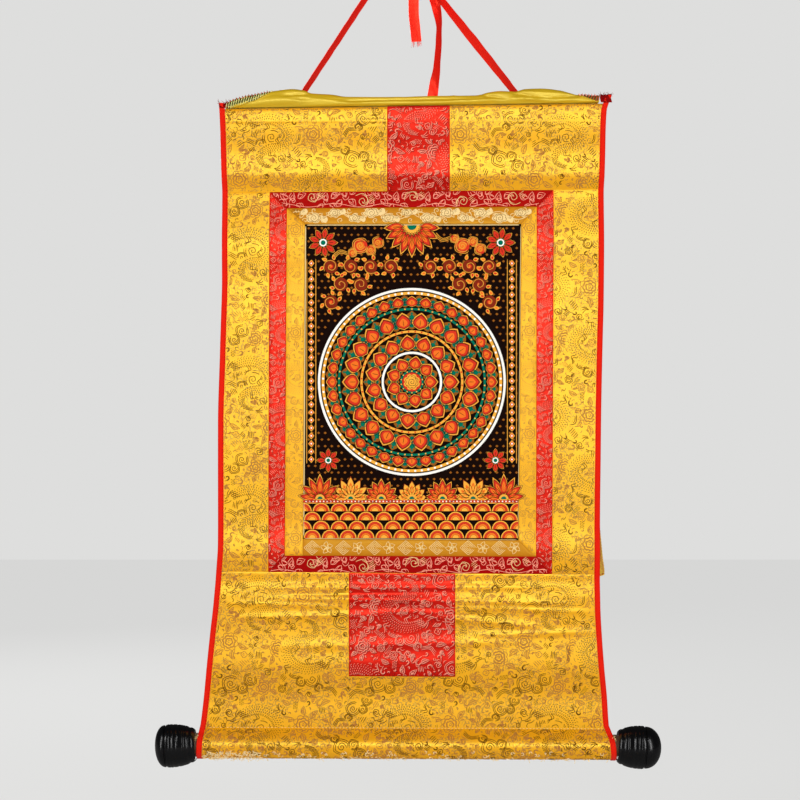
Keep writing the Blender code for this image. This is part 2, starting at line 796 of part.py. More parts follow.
def knob_start(knob):
    """Where a knob's inner end lies: just outside the pocket's bound edge."""
    edge = left_edge if knob.side < 0 else right_edge
    return edge(OUTLINE[-1].z) + knob.side * knob.standoff


def make_rod():
    ring = [radians(360 * k / ROD_SIDES) for k in range(ROD_SIDES)]
    sections = []
    for knob in KNOBS:
        x = knob_start(knob) + knob.side * ROD_IN_SOCKET
        sections.append([
            (x, POCKET_MIDDLE_Y + ROD_RADIUS * cos(a), rod_z(x) + ROD_RADIUS * sin(a)) for a in ring
        ])
    add_sweep("roller_rod", sections, [tuple(range(ROD_SIDES))], plain_wood())


def make_knob(knob):
    """A turned knob with a blind socket for the rod, from its profile."""
    stretch = knob.drum / DRUM[-1].along
    profile = [(SOCKET_DEPTH, 0.0), (SOCKET_DEPTH, SOCKET_RADIUS), (0.0, SOCKET_RADIUS)]
    profile += [(t.along * stretch, t.radius) for t in DRUM]
    rim = DRUM[-1].radius
    for k in range(1, DOME_RINGS):
        angle = radians(90) * k / DOME_RINGS
        profile.append((knob.drum + knob.dome * sin(angle), rim * cos(angle)))
    profile.append((knob.drum + knob.dome, 0.0))
    points = [(profile[0][0], 0.0, 0.0)]
    for along, radius in profile[1:-1]:
        for k in range(KNOB_SIDES):
            angle = radians(360 * k / KNOB_SIDES)
            points.append((along, radius * cos(angle), radius * sin(angle)))
    points.append((profile[-1][0], 0.0, 0.0))
    rings = len(profile) - 2
    faces = []
    for k in range(KNOB_SIDES):
        n = (k + 1) % KNOB_SIDES
        faces.append((0, 1 + k, 1 + n))
        for r in range(rings - 1):
            low = 1 + r * KNOB_SIDES
            high = low + KNOB_SIDES
            faces.append((low + k, high + k, high + n, low + n))
        last = 1 + (rings - 1) * KNOB_SIDES
        faces.append((last + k, len(points) - 1, last + n))
    made = add_object(knob.name, points, faces, black_lacquer())
    made.data.shade_smooth()
    x = knob_start(knob)
    turn = Matrix.Rotation(radians(knob.droop) * knob.side, 4, "Y")
    if knob.side < 0:
        turn = turn @ Matrix.Rotation(pi, 4, "Z")
    seat = Vector((x, POCKET_MIDDLE_Y, rod_z(x))) * METRES
    made.matrix_world = Matrix.Translation(seat) @ turn


def make_roller():
    make_rod()
    for knob in KNOBS:
        make_knob(knob)


def main():
    for old in list(bpy.data.objects):
        bpy.data.objects.remove(old, do_unlink=True)
    make_top_panel()
    make_slat()
    make_side_strips()
    make_frames_and_picture()
    make_bottom_panel()
    make_doors()
    make_binding("binding_left", left_edge, 1, LEFT_BINDING_TOP)
    make_binding("binding_right", right_edge, -1, RIGHT_BINDING_TOP)
    make_cover()
    make_ribbons()
    make_roller()


main()
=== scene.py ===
import math

import bpy
import numpy as np
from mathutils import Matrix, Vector


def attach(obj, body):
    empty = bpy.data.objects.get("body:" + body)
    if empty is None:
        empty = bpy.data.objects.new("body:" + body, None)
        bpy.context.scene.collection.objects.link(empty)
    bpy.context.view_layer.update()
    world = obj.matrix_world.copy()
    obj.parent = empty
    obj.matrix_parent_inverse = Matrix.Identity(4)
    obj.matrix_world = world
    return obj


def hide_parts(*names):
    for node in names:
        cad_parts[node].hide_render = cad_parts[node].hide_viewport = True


# A thangka scroll painting, hung by its ribbon. Sizes are in millimetres and become
# metres when a mesh is made. +X is the viewer's right and -Y is towards the viewer.
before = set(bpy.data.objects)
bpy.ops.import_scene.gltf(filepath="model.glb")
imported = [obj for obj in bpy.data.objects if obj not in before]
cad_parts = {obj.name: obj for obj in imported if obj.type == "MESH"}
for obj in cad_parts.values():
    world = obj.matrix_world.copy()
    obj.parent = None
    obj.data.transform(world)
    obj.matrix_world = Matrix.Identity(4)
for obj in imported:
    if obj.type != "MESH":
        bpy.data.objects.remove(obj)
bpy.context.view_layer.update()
mm = 0.001

scroll = {
    "thickness": 0.6,
    "laid": 0.95,  # how far a patch on top stands in front of the cloth below it
    "pucker": (9, 0.17),  # half width and height of the puckers along the seams
    "calm": (-166, -745),  # no slow ripples above and below these heights
    "topAtHook": -150.3,
    "topSlope": 0.0145,
    "hemFoot": -166,
    "hemRadius": 2.3,
    "upperSeam": -232.5,
    "lowerSeam": -603.5,
    "pocketSeam": -754.2,
    "seamSlopes": [(-754.2, -0.0043), (-603.5, -0.0080), (-232.5, 0.0077), (-166, 0)],
    # corners from the upper left, clockwise
    "redOuter": [(-126.2, -233.5), (149.7, -231.3), (148.1, -604.7), (-127.4, -602.5)],
    "goldOuter": [(-109.2, -249.4), (133.1, -247.7), (132.3, -587.2), (-111.2, -586.3)],
    "picture": [(-91.8, -265), (118.2, -264.8), (115.5, -571.6), (-93.7, -570.2)],
    "topDoor": (-11.9, 48.7),  # left and right
    "bottomDoor": (-49, 54, -703.3),  # left, right and foot
    # height, left edge and right edge outside the bindings
    "edges": [
        (-139, -176, 206), (-147, -175.5, 203.2), (-155, -174.8, 201),
        (-198, -173.1, 199.3), (-242, -172.2, 198.4), (-314, -172.2, 198.4),
        (-387, -174.1, 196.9), (-460, -176.1, 195.5), (-576, -176.1, 194.5),
        (-605, -178, 194.5), (-634, -180.4, 194.9), (-664, -183.8, 196.4),
        (-693, -186.7, 198.4), (-722, -189.6, 201.3), (-751, -193, 203.2),
        (-765, -195.5, 208.3), (-784, -196.6, 210),
    ],
    # height, and how far the cloth stands forward from being kept rolled
    "waves": [
        (-145, 0), (-166, 0), (-200, 3.2), (-217, 2.6), (-233, -3), (-284, 1.8),
        (-324, -0.6), (-352, 1), (-420, 0.2), (-490, 1), (-556, -0.2),
        (-584, 1.4), (-611, -1.2), (-628, 0.2), (-656, 0), (-694, 1.8),
        (-724, -0.8), (-744, 0), (-790, 0),
    ],
    # middle x and z, slope, half length, half width and height of the lying creases
    "creases": [
        (8, -617, 0.0, 170, 2.6, 1), (20, -630, -0.02, 150, 2.8, 1.4),
        (80, -650, -0.1, 60, 3, 1.3), (-85, -645, 0.02, 80, 2.8, 1),
        (0, -672, 0.02, 130, 4, 0.9), (-40, -623.5, 0.02, 100, 1.9, -0.7),
        (100, -638, -0.04, 90, 2, 1), (30, -641, 0.01, 55, 1.9, 0.9),
        (130, -662, 0.03, 64, 2.4, 1), (-110, -634, -0.03, 60, 2, 0.8),
        (13, -164.6, 0.003, 400, 1.3, -0.42), (-60, -211, 0.05, 40, 5, 0.3),
        (130, -205, -0.06, 50, 5, 0.3), (-20, -690, 0.01, 90, 5, 0.35),
    ],
    # middle x and z, lean, half length, half width and height of the upright ones
    "uprights": [
        (164, -684, -0.2, 40, 2, 1.3), (-150, -215, 0.02, 24, 3, 0.25),
        (60, -214, -0.04, 18, 2.6, 0.3), (-118, -660, 0.05, 40, 3.4, 0.25),
    ],
}


def smoothed(rows, at, column=1):
    # a table's column at a place, on a smooth curve through the rows
    rows = sorted(rows)
    keys = np.array([row[0] for row in rows])
    values = np.array([row[column] for row in rows])
    spans = np.diff(keys)
    rises = np.diff(values) / spans
    both = rises[:-1] * rises[1:]
    slopes = np.zeros(len(keys))
    slopes[1:-1] = np.where(both > 0, 2 * both / np.where(both > 0, rises[:-1] + rises[1:], 1.0), 0.0)
    at = np.clip(at, keys[0], keys[-1])
    i = np.clip(np.searchsorted(keys, at, side="right") - 1, 0, len(keys) - 2)
    t = (at - keys[i]) / spans[i]
    start = (2 * t ** 3 - 3 * t ** 2 + 1) * values[i] + (t ** 3 - 2 * t ** 2 + t) * spans[i] * slopes[i]
    end = (3 * t ** 2 - 2 * t ** 3) * values[i + 1] + (t ** 3 - t ** 2) * spans[i] * slopes[i + 1]
    return start + end


def topEdge(x):
    return scroll["topAtHook"] + scroll["topSlope"] * x


def seamAt(name, x):
    # height of a seam at x
    return scroll[name] + x * seamSlope(scroll[name])


def seamSlope(level):
    return np.interp(level, *zip(*scroll["seamSlopes"]))


def leftEdge(z):
    return smoothed(scroll["edges"], z, 1)


def rightEdge(z):
    return smoothed(scroll["edges"], z, 2)


def foldsAt(x, z, lying, upright):
    # how far a table's creases stand forward at x and z
    forward = 0.0
    for rows, isUpright, power in ((lying, False, 4), (upright, True, 2)):
        for cx, cz, slope, reach, halfWidth, rise in rows:
            along, off = (z - cz, x - cx) if isUpright else (x - cx, z - cz)
            off = (off - slope * along) / halfWidth
            fade = 1 - np.clip(np.abs(along) / reach, 0, 1) ** power
            forward = forward + rise * np.exp(-off * off) * fade
    return forward


def clothY(x, z):
    # depth of the middle of the hanging cloth, with its waves, creases and seam puckers
    forward = smoothed(scroll["waves"], z) + foldsAt(x, z, scroll["creases"], scroll["uprights"])
    halfWidth, rise = scroll["pucker"]
    for seam in ("upperSeam", "lowerSeam"):
        near = np.exp(-((z - seamAt(seam, x)) / halfWidth) ** 2)
        forward = forward + rise * near * np.sin(x / 2.9 + 1.7 * np.sin(x / 17.0))
    slow = 0.22 * np.sin(x / 31.0 + z / 53.0) + 0.16 * np.sin(x / 13.0 - z / 41.0)
    above, below = scroll["calm"]
    calm = np.clip((above - z) / 20.0, 0, 1) * np.clip((z - below) / 20.0, 0, 1)
    return -forward - slow * calm


def runAlong(points):
    # how far along a line each of its points is
    steps = np.diff(points, axis=0)
    steps = np.abs(steps) if steps.ndim == 1 else np.linalg.norm(steps, axis=1)
    return np.concatenate([[0.0], np.cumsum(steps)])


# Where the cloth goes round the roller: a straight run from the seam, the round, and back.
pocket = {"radius": 12.6, "middleY": 0.75, "centre": -770.7, "turns": 44}


def pocketPath():
    centre = Vector((pocket["middleY"], pocket["centre"]))
    seam = Vector((0.0, scroll["pocketSeam"]))
    lean = math.acos(pocket["radius"] / (seam - centre).length)
    path = [(0.0, scroll["pocketSeam"], -0.75, 0.66)]
    for k in range(pocket["turns"] + 1):
        angle = lean + (2 * math.pi - 2 * lean) * k / pocket["turns"]
        ny, nz = -math.sin(angle), math.cos(angle)
        path.append((centre.x + pocket["radius"] * ny, centre.y + pocket["radius"] * nz, ny, nz))
    path.append((2 * pocket["middleY"], scroll["pocketSeam"], 0.75, 0.66))
    path = np.array(path)
    return runAlong(path[:, :2]), path


pocketRun, pocketPoints = pocketPath()


def onCloth(x, z, lift=0.0):
    # a point of the hanging cloth, lifted off its middle towards the viewer; past the
    # pocket's seam z goes on along the cloth, round the roller
    seam = seamAt("pocketSeam", x)
    past = seam - z
    rounds = [np.interp(past, pocketRun, pocketPoints[:, k]) for k in range(4)]
    y = np.where(past > 0, rounds[0] + lift * rounds[2], clothY(x, np.maximum(z, seam)) - lift)
    up = np.where(past > 0, rounds[1] + seam - scroll["pocketSeam"] + lift * rounds[3], z)
    return np.stack([x, y, up], axis=-1)


def only(obj):
    if bpy.context.mode != "OBJECT":
        bpy.ops.object.mode_set(mode="OBJECT")
    bpy.ops.object.select_all(action="DESELECT")
    obj.select_set(True)
    bpy.context.view_layer.objects.active = obj
    return obj


def thicken(obj, thickness):
    # a thickness to both sides of a sheet, which closes it
    solidify = obj.modifiers.new("thickness", "SOLIDIFY")
    solidify.thickness = thickness * mm
    solidify.offset = 0.0
    only(obj)
    bpy.ops.object.modifier_apply(modifier=solidify.name)


def linked(name, data):
    made = bpy.data.objects.new(name, data)
    bpy.context.scene.collection.objects.link(made)
    return made


def outwards(obj, weld=None):
    # every face turned outwards, and doubled points welded first where a distance is given
    only(obj)
    bpy.ops.object.mode_set(mode="EDIT")
    bpy.ops.mesh.select_all(action="SELECT")
    if weld:
        bpy.ops.mesh.remove_doubles(threshold=weld)
    bpy.ops.mesh.normals_make_consistent(inside=False)
    bpy.ops.object.mode_set(mode="OBJECT")


def smoothShade(obj, degrees=40):
    only(obj)
    bpy.ops.object.shade_smooth_by_angle(angle=math.radians(degrees))


def makeSheet(name, columns, rows, place, finish, thickness=None, roll=0.0):
    # a grid whose points go where place(column, row) says, given thickness and closed;
    # roll turns its four edges back, as at a seam
    bpy.ops.object.select_all(action="DESELECT")
    bpy.ops.mesh.primitive_grid_add(x_subdivisions=len(columns) - 1, y_subdivisions=len(rows) - 1, size=1)
    sheet = bpy.context.object
    sheet.name = sheet.data.name = name
    spots = np.array([v.co[:2] for v in sheet.data.vertices]) + 0.5
    i = np.rint(spots[:, 0] * (len(columns) - 1)).astype(int)
    j = np.rint(spots[:, 1] * (len(rows) - 1)).astype(int)
    points = place(np.asarray(columns, float)[i], np.asarray(rows, float)[j])
    if roll:
        grid = points.reshape(len(rows), len(columns), 3)
        across = np.cumsum(np.linalg.norm(np.diff(grid, axis=1, prepend=grid[:, :1]), axis=2), axis=1)
        down = np.cumsum(np.linalg.norm(np.diff(grid, axis=0, prepend=grid[:1]), axis=2), axis=0)
        near = np.minimum(across, across[:, -1:] - across)
        near = np.minimum(near, np.minimum(down, down[-1:] - down))
        grid[:, :, 1] += roll * np.exp(-(near / 0.7) ** 2)
        points = grid.reshape(-1, 3)
    sheet.data.vertices.foreach_set("co", (points * mm).astype(np.float32).ravel())
    sheet.data.update()
    thicken(sheet, thickness or scroll["thickness"])
    sheet.data.materials.append(finish)
    smoothShade(sheet)
    return sheet


def spaced(start, end, spacing, edges=True):
    # places from start to end, with two closer ones at each end for the seam's roll
    way = 1 if end > start else -1
    close = [0.0, 0.5, 1.2] if edges else [0.0]
    count = max(2, round(abs(end - start) / spacing))
    inner = np.linspace(start + way * close[-1], end - way * close[-1], count)
    before = [start + way * d for d in close[:-1]]
    after = [end - way * d for d in reversed(close[:-1])]
    return np.array(before + list(inner) + after)


def makeNib():
    # the section of a thread, flat below and ridged above
    nib = bpy.data.curves.new("nib", "CURVE")
    nib.dimensions = "2D"
    spline = nib.splines.new("POLY")
    spline.points.add(2)
    spline.points.foreach_set("co", [-0.5, -0.2, 0, 1, 0.5, -0.2, 0, 1, 0, 0.5, 0, 1])
    spline.use_cyclic_u = True
    return linked("nib", nib)


nib = makeNib()


def thinned(line, most, turn=0.4):
    # fewer points where a line runs nearly straight
    steps = np.diff(line) + 1e-9
    turns = np.abs(np.angle(steps[1:] / steps[:-1]))
    kept, turned, run = [0], 0.0, 0.0
    for k in range(1, len(line) - 1):
        turned += turns[k - 1]
        run += abs(steps[k - 1])
        if turned > turn or run + abs(steps[k]) > most:
            kept.append(k)
            turned = run = 0.0
    return line[kept + [len(line) - 1]]


def newCurve(name):
    curve = bpy.data.curves.new(name, "CURVE")
    curve.dimensions = "3D"
    curve.use_fill_caps = True
    return curve


def asMesh(name, curve, weld):
    only(linked(name, curve))
    bpy.ops.object.convert(target="MESH")
    made = bpy.context.object
    outwards(made, weld)
    return made


def drawLines(name, lines, width, place, finish, lift=None, relief=0.45, stride=3.0):
    # raised threads along lines drawn flat, then laid on the cloth by place(x, z, lift)
    lift = scroll["thickness"] / 2 if lift is None else lift
    curve = newCurve(name)
    curve.twist_mode = "Z_UP"
    curve.bevel_mode = "OBJECT"
    curve.bevel_object = nib
    for line in lines:
        line = thinned(line, stride)
        spline = curve.splines.new("POLY")
        spline.points.add(len(line) - 1)
        flat = np.stack([line.real, line.imag, np.zeros(len(line)), np.ones(len(line))], axis=1)
        spline.points.foreach_set("co", flat.ravel())
        thick = np.full(len(line), width)
        thick[[0, -1]] = 0.55 * width
        spline.points.foreach_set("radius", thick)
    threads = asMesh(name, curve, 0.0001)
    points = np.empty(len(threads.data.vertices) * 3)
    threads.data.vertices.foreach_get("co", points)
    points = points.reshape(-1, 3)
    points = place(points[:, 0], points[:, 1], lift + relief * points[:, 2])
    threads.data.vertices.foreach_set("co", (points * mm).astype(np.float32).ravel())
    threads.data.update()
    outwards(threads)
    threads.data.materials.append(finish)
    return threads


def laidMesh(name, points, faces, place, finish, lift, depth, weld=None):
    # faces drawn flat, laid on the cloth and closed by their own thickness
    mesh = bpy.data.meshes.new(name)
    mesh.from_pydata((place(points.real, points.imag, lift) * mm).tolist(), [], faces)
    shape = linked(name, mesh)
    if weld:
        outwards(shape, weld)
    thicken(shape, depth)
    outwards(shape)
    shape.data.materials.append(finish)
    return shape


def drawShapes(name, outlines, place, finish, lift, depth=0.16):
    # thin filled shapes inside their outlines
    ends = np.cumsum([len(outline) for outline in outlines])
    faces = [tuple(range(end - len(outline), end)) for outline, end in zip(outlines, ends)]
    return laidMesh(name, np.concatenate(outlines), faces, place, finish, lift, depth)


def drawBands(name, bands, place, finish, lift, depth=0.05):
    # flat bands between two lines each, the wide ones with a middle line too, to follow the cloth
    points, faces = [], []
    for left, right in bands:
        first = sum(len(line) for line in points)
        count = len(left)
        wide = np.abs(left - right).max() > 5.0
        points += [left, (left + right) / 2, right] if wide else [left, right]
        starts = [first + count * k + i for i in range(count - 1) for k in range(1 + wide)]
        faces += [(start, start + count, start + count + 1, start + 1) for start in starts]
    return laidMesh(name, np.concatenate(points), faces, place, finish, lift, depth, 0.000002)


def looseThreads(name, threads, thickness, finish):
    # thin threads through the given points in space
    curve = newCurve(name)
    curve.bevel_depth = thickness / 2 * mm
    curve.bevel_resolution = 1
    for points in threads:
        spline = curve.splines.new("POLY")
        spline.points.add(len(points) - 1)
        for point, place in zip(spline.points, points):
            point.co = (*(np.asarray(place) * mm), 1.0)
    made = asMesh(name, curve, 0.000002)
    made.data.materials.append(finish)
    return made


def wisp(chance, start, heading, length, stray):
    # one frayed thread, wandering as it goes
    place, heading = np.array(start, float), np.array(heading, float)
    heading /= np.linalg.norm(heading)
    points = [place.copy()]
    for _ in range(5):
        heading = heading + chance.normal(0, stray, 3)
        heading /= np.linalg.norm(heading)
        place = place + heading * length / 5
        points.append(place.copy())
    return points


def joined(name, parts):
    # several objects as one piece, with their materials kept
    only(parts[0])
    for part in parts[1:]:
        part.select_set(True)
    if len(parts) > 1:
        bpy.ops.object.join()
    parts[0].name = parts[0].data.name = name
    return parts[0]


def carry(piece, slot, *nodes):
    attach(piece, "root")
    if nodes:
        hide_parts(*nodes)
    return piece


# Camera and light. The middle of the view is on the scroll's own plane.
studio = {
    "middle": (0.5, -435.5),
    "viewWidth": 776,
    "distance": 2000,
    "floor": -900,
    "floorSize": 8000,
    "floorPaint": (84, 84, 83),  # dark, because most of the floor's paleness is its glow
    "floorGlow": 0.9,
    "backdrop": (222, 222, 221),
    "ambient": 0.26,
    "mirrored": 0.04,  # how much of the backdrop and floor the glossy pieces mirror
    # name, place, aimed at, width, height, power
    "lamps": [
        ("leftBox", (-1680, -1180, 120), (0, 0, -430), 380, 2300, 17),
        ("rightBox", (1460, -1560, 120), (0, 0, -430), 380, 2300, 16),
        ("frontStrip", (60, -2300, -60), (0, 0, -430), 1500, 760, 22),
        ("backBox", (-700, 1700, 300), (0, 0, -400), 900, 900, 16),
    ],
    "notOnKnobs": ["frontStrip", "backBox"],  # lamps that would show as pale patches on the knobs
}


def glowByRay(tree, lit, seen):
    # a glow's strength as light on the pieces, as the camera sees it, and as they mirror it
    path = tree.nodes.new("ShaderNodeLightPath")
    shine = tree.nodes.new("ShaderNodeMix")
    shine.inputs["A"].default_value = lit
    shine.inputs["B"].default_value = studio["mirrored"]
    tree.links.new(path.outputs["Is Glossy Ray"], shine.inputs["Factor"])
    view = tree.nodes.new("ShaderNodeMix")
    view.inputs["B"].default_value = seen
    tree.links.new(shine.outputs["Result"], view.inputs["A"])
    tree.links.new(path.outputs["Is Camera Ray"], view.inputs["Factor"])
    return view.outputs["Result"]


def makeStudio():
    data = bpy.data.cameras.new("camera")
    data.sensor_width = 36.0
    data.lens = data.sensor_width * studio["distance"] / studio["viewWidth"]
    camera = linked("camera", data)
    x, z = studio["middle"]
    camera.location = Vector((x, -studio["distance"], z)) * mm
    camera.rotation_euler = (math.radians(90), 0, 0)
    bpy.context.scene.camera = camera
    bpy.context.scene.view_settings.view_transform = "Standard"
    for name, place, aim, width, height, power in studio["lamps"]:
        lamp = bpy.data.lights.new(name, "AREA")
        lamp.shape = "RECTANGLE"
        lamp.size, lamp.size_y = width * mm, height * mm
        lamp.energy = power
        light = linked(name, lamp)
        light.location = Vector(place) * mm
        light.rotation_euler = (Vector(aim) - Vector(place)).to_track_quat("-Z", "Y").to_euler()
    world = bpy.data.worlds.new("studio")
    bpy.context.scene.world = world
    world.use_nodes = True
    tree = world.node_tree
    background = tree.nodes["Background"]
    background.inputs["Color"].default_value = tint(studio["backdrop"])
    tree.links.new(glowByRay(tree, studio["ambient"], 1.0), background.inputs["Strength"])
    bpy.ops.mesh.primitive_plane_add(size=studio["floorSize"] * mm, location=(0, 0, studio["floor"] * mm))
    floor = bpy.context.object
    floor.name = "floor"
    paint, tree, shader = newFinish("paleFloor")
    shader.inputs["Base Color"].default_value = tint(studio["floorPaint"])
    shader.inputs["Roughness"].default_value = 0.9
    shader.inputs["Emission Color"].default_value = tint(studio["backdrop"])
    glow = glowByRay(tree, studio["floorGlow"], studio["floorGlow"])
    tree.links.new(glow, shader.inputs["Emission Strength"])
    floor.data.materials.append(paint)


def newFinish(name):
    # a material with its node tree and its shader
    finish = bpy.data.materials.new(name)
    finish.use_nodes = True
    return finish, finish.node_tree, finish.node_tree.nodes["Principled BSDF"]


def tint(colour):
    # a colour as it looks, 0 to 255, as Blender's linear one
    return tuple(((c / 255 + 0.055) / 1.055) ** 2.4 if c > 10 else c / 3294.6 for c in colour) + (1.0,)


makeStudio()
print("stage: studio")


def addNode(tree, kind, sockets, **settings):
    # a node with its settings, and sockets given as values or as outputs to link
    node = tree.nodes.new(kind)
    for key, value in settings.items():
        setattr(node, key, value)
    for key, value in sockets.items():
        if isinstance(value, bpy.types.NodeSocket):
            tree.links.new(value, node.inputs[key])
        else:
            node.inputs[key].default_value = value
    return node


def addMath(tree, operation, first, second=0.0):
    return addNode(tree, "ShaderNodeMath", {0: first, 1: second}, operation=operation).outputs[0]


def plus(tree, first, *others):
    for other in others:
        first = addMath(tree, "ADD", first, other)
    return first


def minus(tree, first, second):
    return addMath(tree, "SUBTRACT", first, second)


def times(tree, first, second):
    return addMath(tree, "MULTIPLY", first, second)


def clamped(tree, value):
    return addNode(tree, "ShaderNodeClamp", {"Value": value}).outputs[0]


def blend(tree, mask, first, second):
    return addNode(tree, "ShaderNodeMix", {"Factor": mask, 6: first, 7: second}, data_type="RGBA").outputs[2]


def noiseAt(tree, place, scale, detail, output="Fac"):
    noise = addNode(tree, "ShaderNodeTexNoise", {"Vector": place, "Scale": scale, "Detail": detail})
    return noise.outputs[output]


def stretched(tree, place, scale):
    return addNode(tree, "ShaderNodeMapping", {"Vector": place, "Scale": scale}).outputs[0]


def bandsAt(tree, way, place, scale, distortion=0.0):
    sockets = {"Vector": place, "Scale": scale, "Distortion": distortion}
    return addNode(tree, "ShaderNodeTexWave", sockets, bands_direction=way).outputs["Fac"]


def addVectors(tree, operation, first, second):
    return addNode(tree, "ShaderNodeVectorMath", {0: first, 1: second}, operation=operation).outputs[0]


def newGroup(name, inputs, outputs):
    # a node group's tree, its inputs by their usual values, its outputs and the place on the piece
    group = bpy.data.node_groups.new(name, "ShaderNodeTree")
    for label, value in inputs.items():
        kind = "NodeSocketColor" if isinstance(value, tuple) else "NodeSocketFloat"
        group.interface.new_socket(label, in_out="INPUT", socket_type=kind).default_value = value
    for label in outputs:
        kind = "NodeSocketColor" if label == "Colour" else "NodeSocketFloat"
        group.interface.new_socket(label, in_out="OUTPUT", socket_type=kind)
    given, made = group.nodes.new("NodeGroupInput"), group.nodes.new("NodeGroupOutput")
    return group, given.outputs, made.inputs, group.nodes.new("ShaderNodeTexCoord").outputs["Object"]


def makeWeaveGroup():
    # threads both ways, slubs along the weft and slow patches of colour; the deep colour also fills the gaps
    # between threads as painted shade
    tree, given, made, place = newGroup(
        "weave", {"Colour": (0.8, 0.8, 0.8, 1), "Deep": (0.4, 0.4, 0.4, 1), "Pitch": 0.0005,
                  "Mottle": 0.3, "Slub": 0.3, "Gloss": 0.4}, ("Colour", "Roughness", "Height"))
    scale = addMath(tree, "DIVIDE", bandsPerPitch, given["Pitch"])
    warp = bandsAt(tree, "X", place, scale)
    weft = bandsAt(tree, "Z", place, times(tree, scale, 0.55))
    threads = times(tree, warp, weft)
    slub = noiseAt(tree, stretched(tree, place, (30.0, 30.0, 1400.0)), 1.0, 2.0)
    patches = times(tree, minus(tree, noiseAt(tree, place, 34.0, 4.0), 0.38), 2.2)
    grain = minus(tree, noiseAt(tree, place, 900.0, 2.0), 0.5)
    mask = clamped(tree, plus(tree, times(tree, patches, given["Mottle"]),
                              times(tree, minus(tree, slub, 0.42), given["Slub"]),
                              times(tree, grain, given["Slub"]),
                              # darker where the threads dip: painted shade in the gaps between them
                              times(tree, minus(tree, 0.5, threads), 0.16)))
    tree.links.new(blend(tree, mask, given["Colour"], given["Deep"]), made["Colour"])
    tree.links.new(plus(tree, given["Gloss"], times(tree, mask, 0.18)), made["Roughness"])
    tree.links.new(plus(tree, threads, times(tree, slub, 0.6)), made["Height"])
    return tree


def makeLatheGroup():
    # turning marks round an axis along X, with dust and fine scratches
    tree, given, made, place = newGroup("turningMarks", {"Pitch": 0.001, "Dust": 0.3}, ("Mask", "Height"))
    scale = addMath(tree, "DIVIDE", bandsPerPitch, given["Pitch"])
    rings = bandsAt(tree, "X", place, scale, 1.5)
    scratch = noiseAt(tree, stretched(tree, place, (900.0, 60.0, 60.0)), 1.0, 3.0)
    speck = addMath(tree, "GREATER_THAN", noiseAt(tree, place, 420.0, 3.0), 0.66)
    tree.links.new(times(tree, plus(tree, speck, scratch), given["Dust"]), made["Mask"])
    tree.links.new(plus(tree, rings, scratch), made["Height"])
    return tree


def makeCurlGroup():
    # clusters of small spirals, for the flowers that are too fine to lay thread by thread
    tree, given, made, place = newGroup("curls", {"Size": 0.006, "Cover": 0.5}, ("Mask", "Height"))
    parts = addNode(tree, "ShaderNodeSeparateXYZ", {0: place}).outputs
    face = addNode(tree, "ShaderNodeCombineXYZ", {"X": parts["X"], "Y": parts["Z"]}).outputs[0]
    drift = {0: noiseAt(tree, place, 210.0, 1.0, "Color"), "Scale": 0.0045}
    shift = addNode(tree, "ShaderNodeVectorMath", drift, operation="SCALE").outputs[0]
    bent = addVectors(tree, "ADD", face, shift)
    perMetre = addMath(tree, "DIVIDE", 1.0, given["Size"])
    cells = addNode(tree, "ShaderNodeTexVoronoi", {"Vector": bent, "Scale": perMetre},
                    voronoi_dimensions="2D").outputs
    away = addVectors(tree, "SUBTRACT", bent, cells["Position"])
    across = addNode(tree, "ShaderNodeSeparateXYZ", {0: away}).outputs
    turn = addMath(tree, "ARCTAN2", across["Y"], across["X"])
    spiral = addMath(tree, "SINE", plus(tree, turn, times(tree, cells["Distance"], 13.0)))
    bare = minus(tree, 1.0, given["Cover"])
    cluster = clamped(tree, times(tree, minus(tree, noiseAt(tree, place, 46.0, 1.5), bare), 12.0))
    line = clamped(tree, times(tree, minus(tree, spiral, 0.3), 2.6))
    mask = times(tree, line, cluster)
    tree.links.new(mask, made["Mask"])
    tree.links.new(mask, made["Height"])
    return tree


bandsPerPitch = 0.3142  # a wave texture's scale for bands one metre apart
weaveGroup = makeWeaveGroup()
curlGroup = makeCurlGroup()
latheGroup = makeLatheGroup()


def addGroup(tree, group, **sockets):
    return addNode(tree, "ShaderNodeGroup", sockets, node_tree=group).outputs


def dress(tree, shader, colour, roughness, height, strength, distance, others):
    # a shader's colour, roughness, bump and other values
    sockets = {"Strength": strength, "Distance": distance, "Height": height}
    tree.links.new(addNode(tree, "ShaderNodeBump", sockets).outputs["Normal"], shader.inputs["Normal"])
    tree.links.new(colour, shader.inputs["Base Color"])
    tree.links.new(roughness, shader.inputs["Roughness"])
    for label, value in others.items():
        shader.inputs[label].default_value = value


def clothFinish(name, colour, deep, glint=(255, 255, 255), ior=1.5, pitch=0.5, mottle=0.3, slub=0.25,
                gloss=0.38, bump=0.25, curl=None, curlSize=6.2, curlCover=0.56):
    # glint is the colour of the cloth's shine, and a higher ior makes it stronger
    finish, tree, shader = newFinish(name)
    weave = addGroup(tree, weaveGroup, Colour=tint(colour), Deep=tint(deep), Pitch=pitch * mm,
                     Mottle=mottle, Slub=slub, Gloss=gloss)
    dyed, height = weave["Colour"], weave["Height"]
    if curl:
        curls = addGroup(tree, curlGroup, Size=curlSize * mm, Cover=curlCover)
        dyed = blend(tree, curls["Mask"], dyed, tint(curl))
        height = plus(tree, height, times(tree, curls["Height"], 7.0))
    dress(tree, shader, dyed, weave["Roughness"], height, bump, 0.06 * mm,
          {"IOR": ior, "Specular Tint": tint(glint)})
    return finish


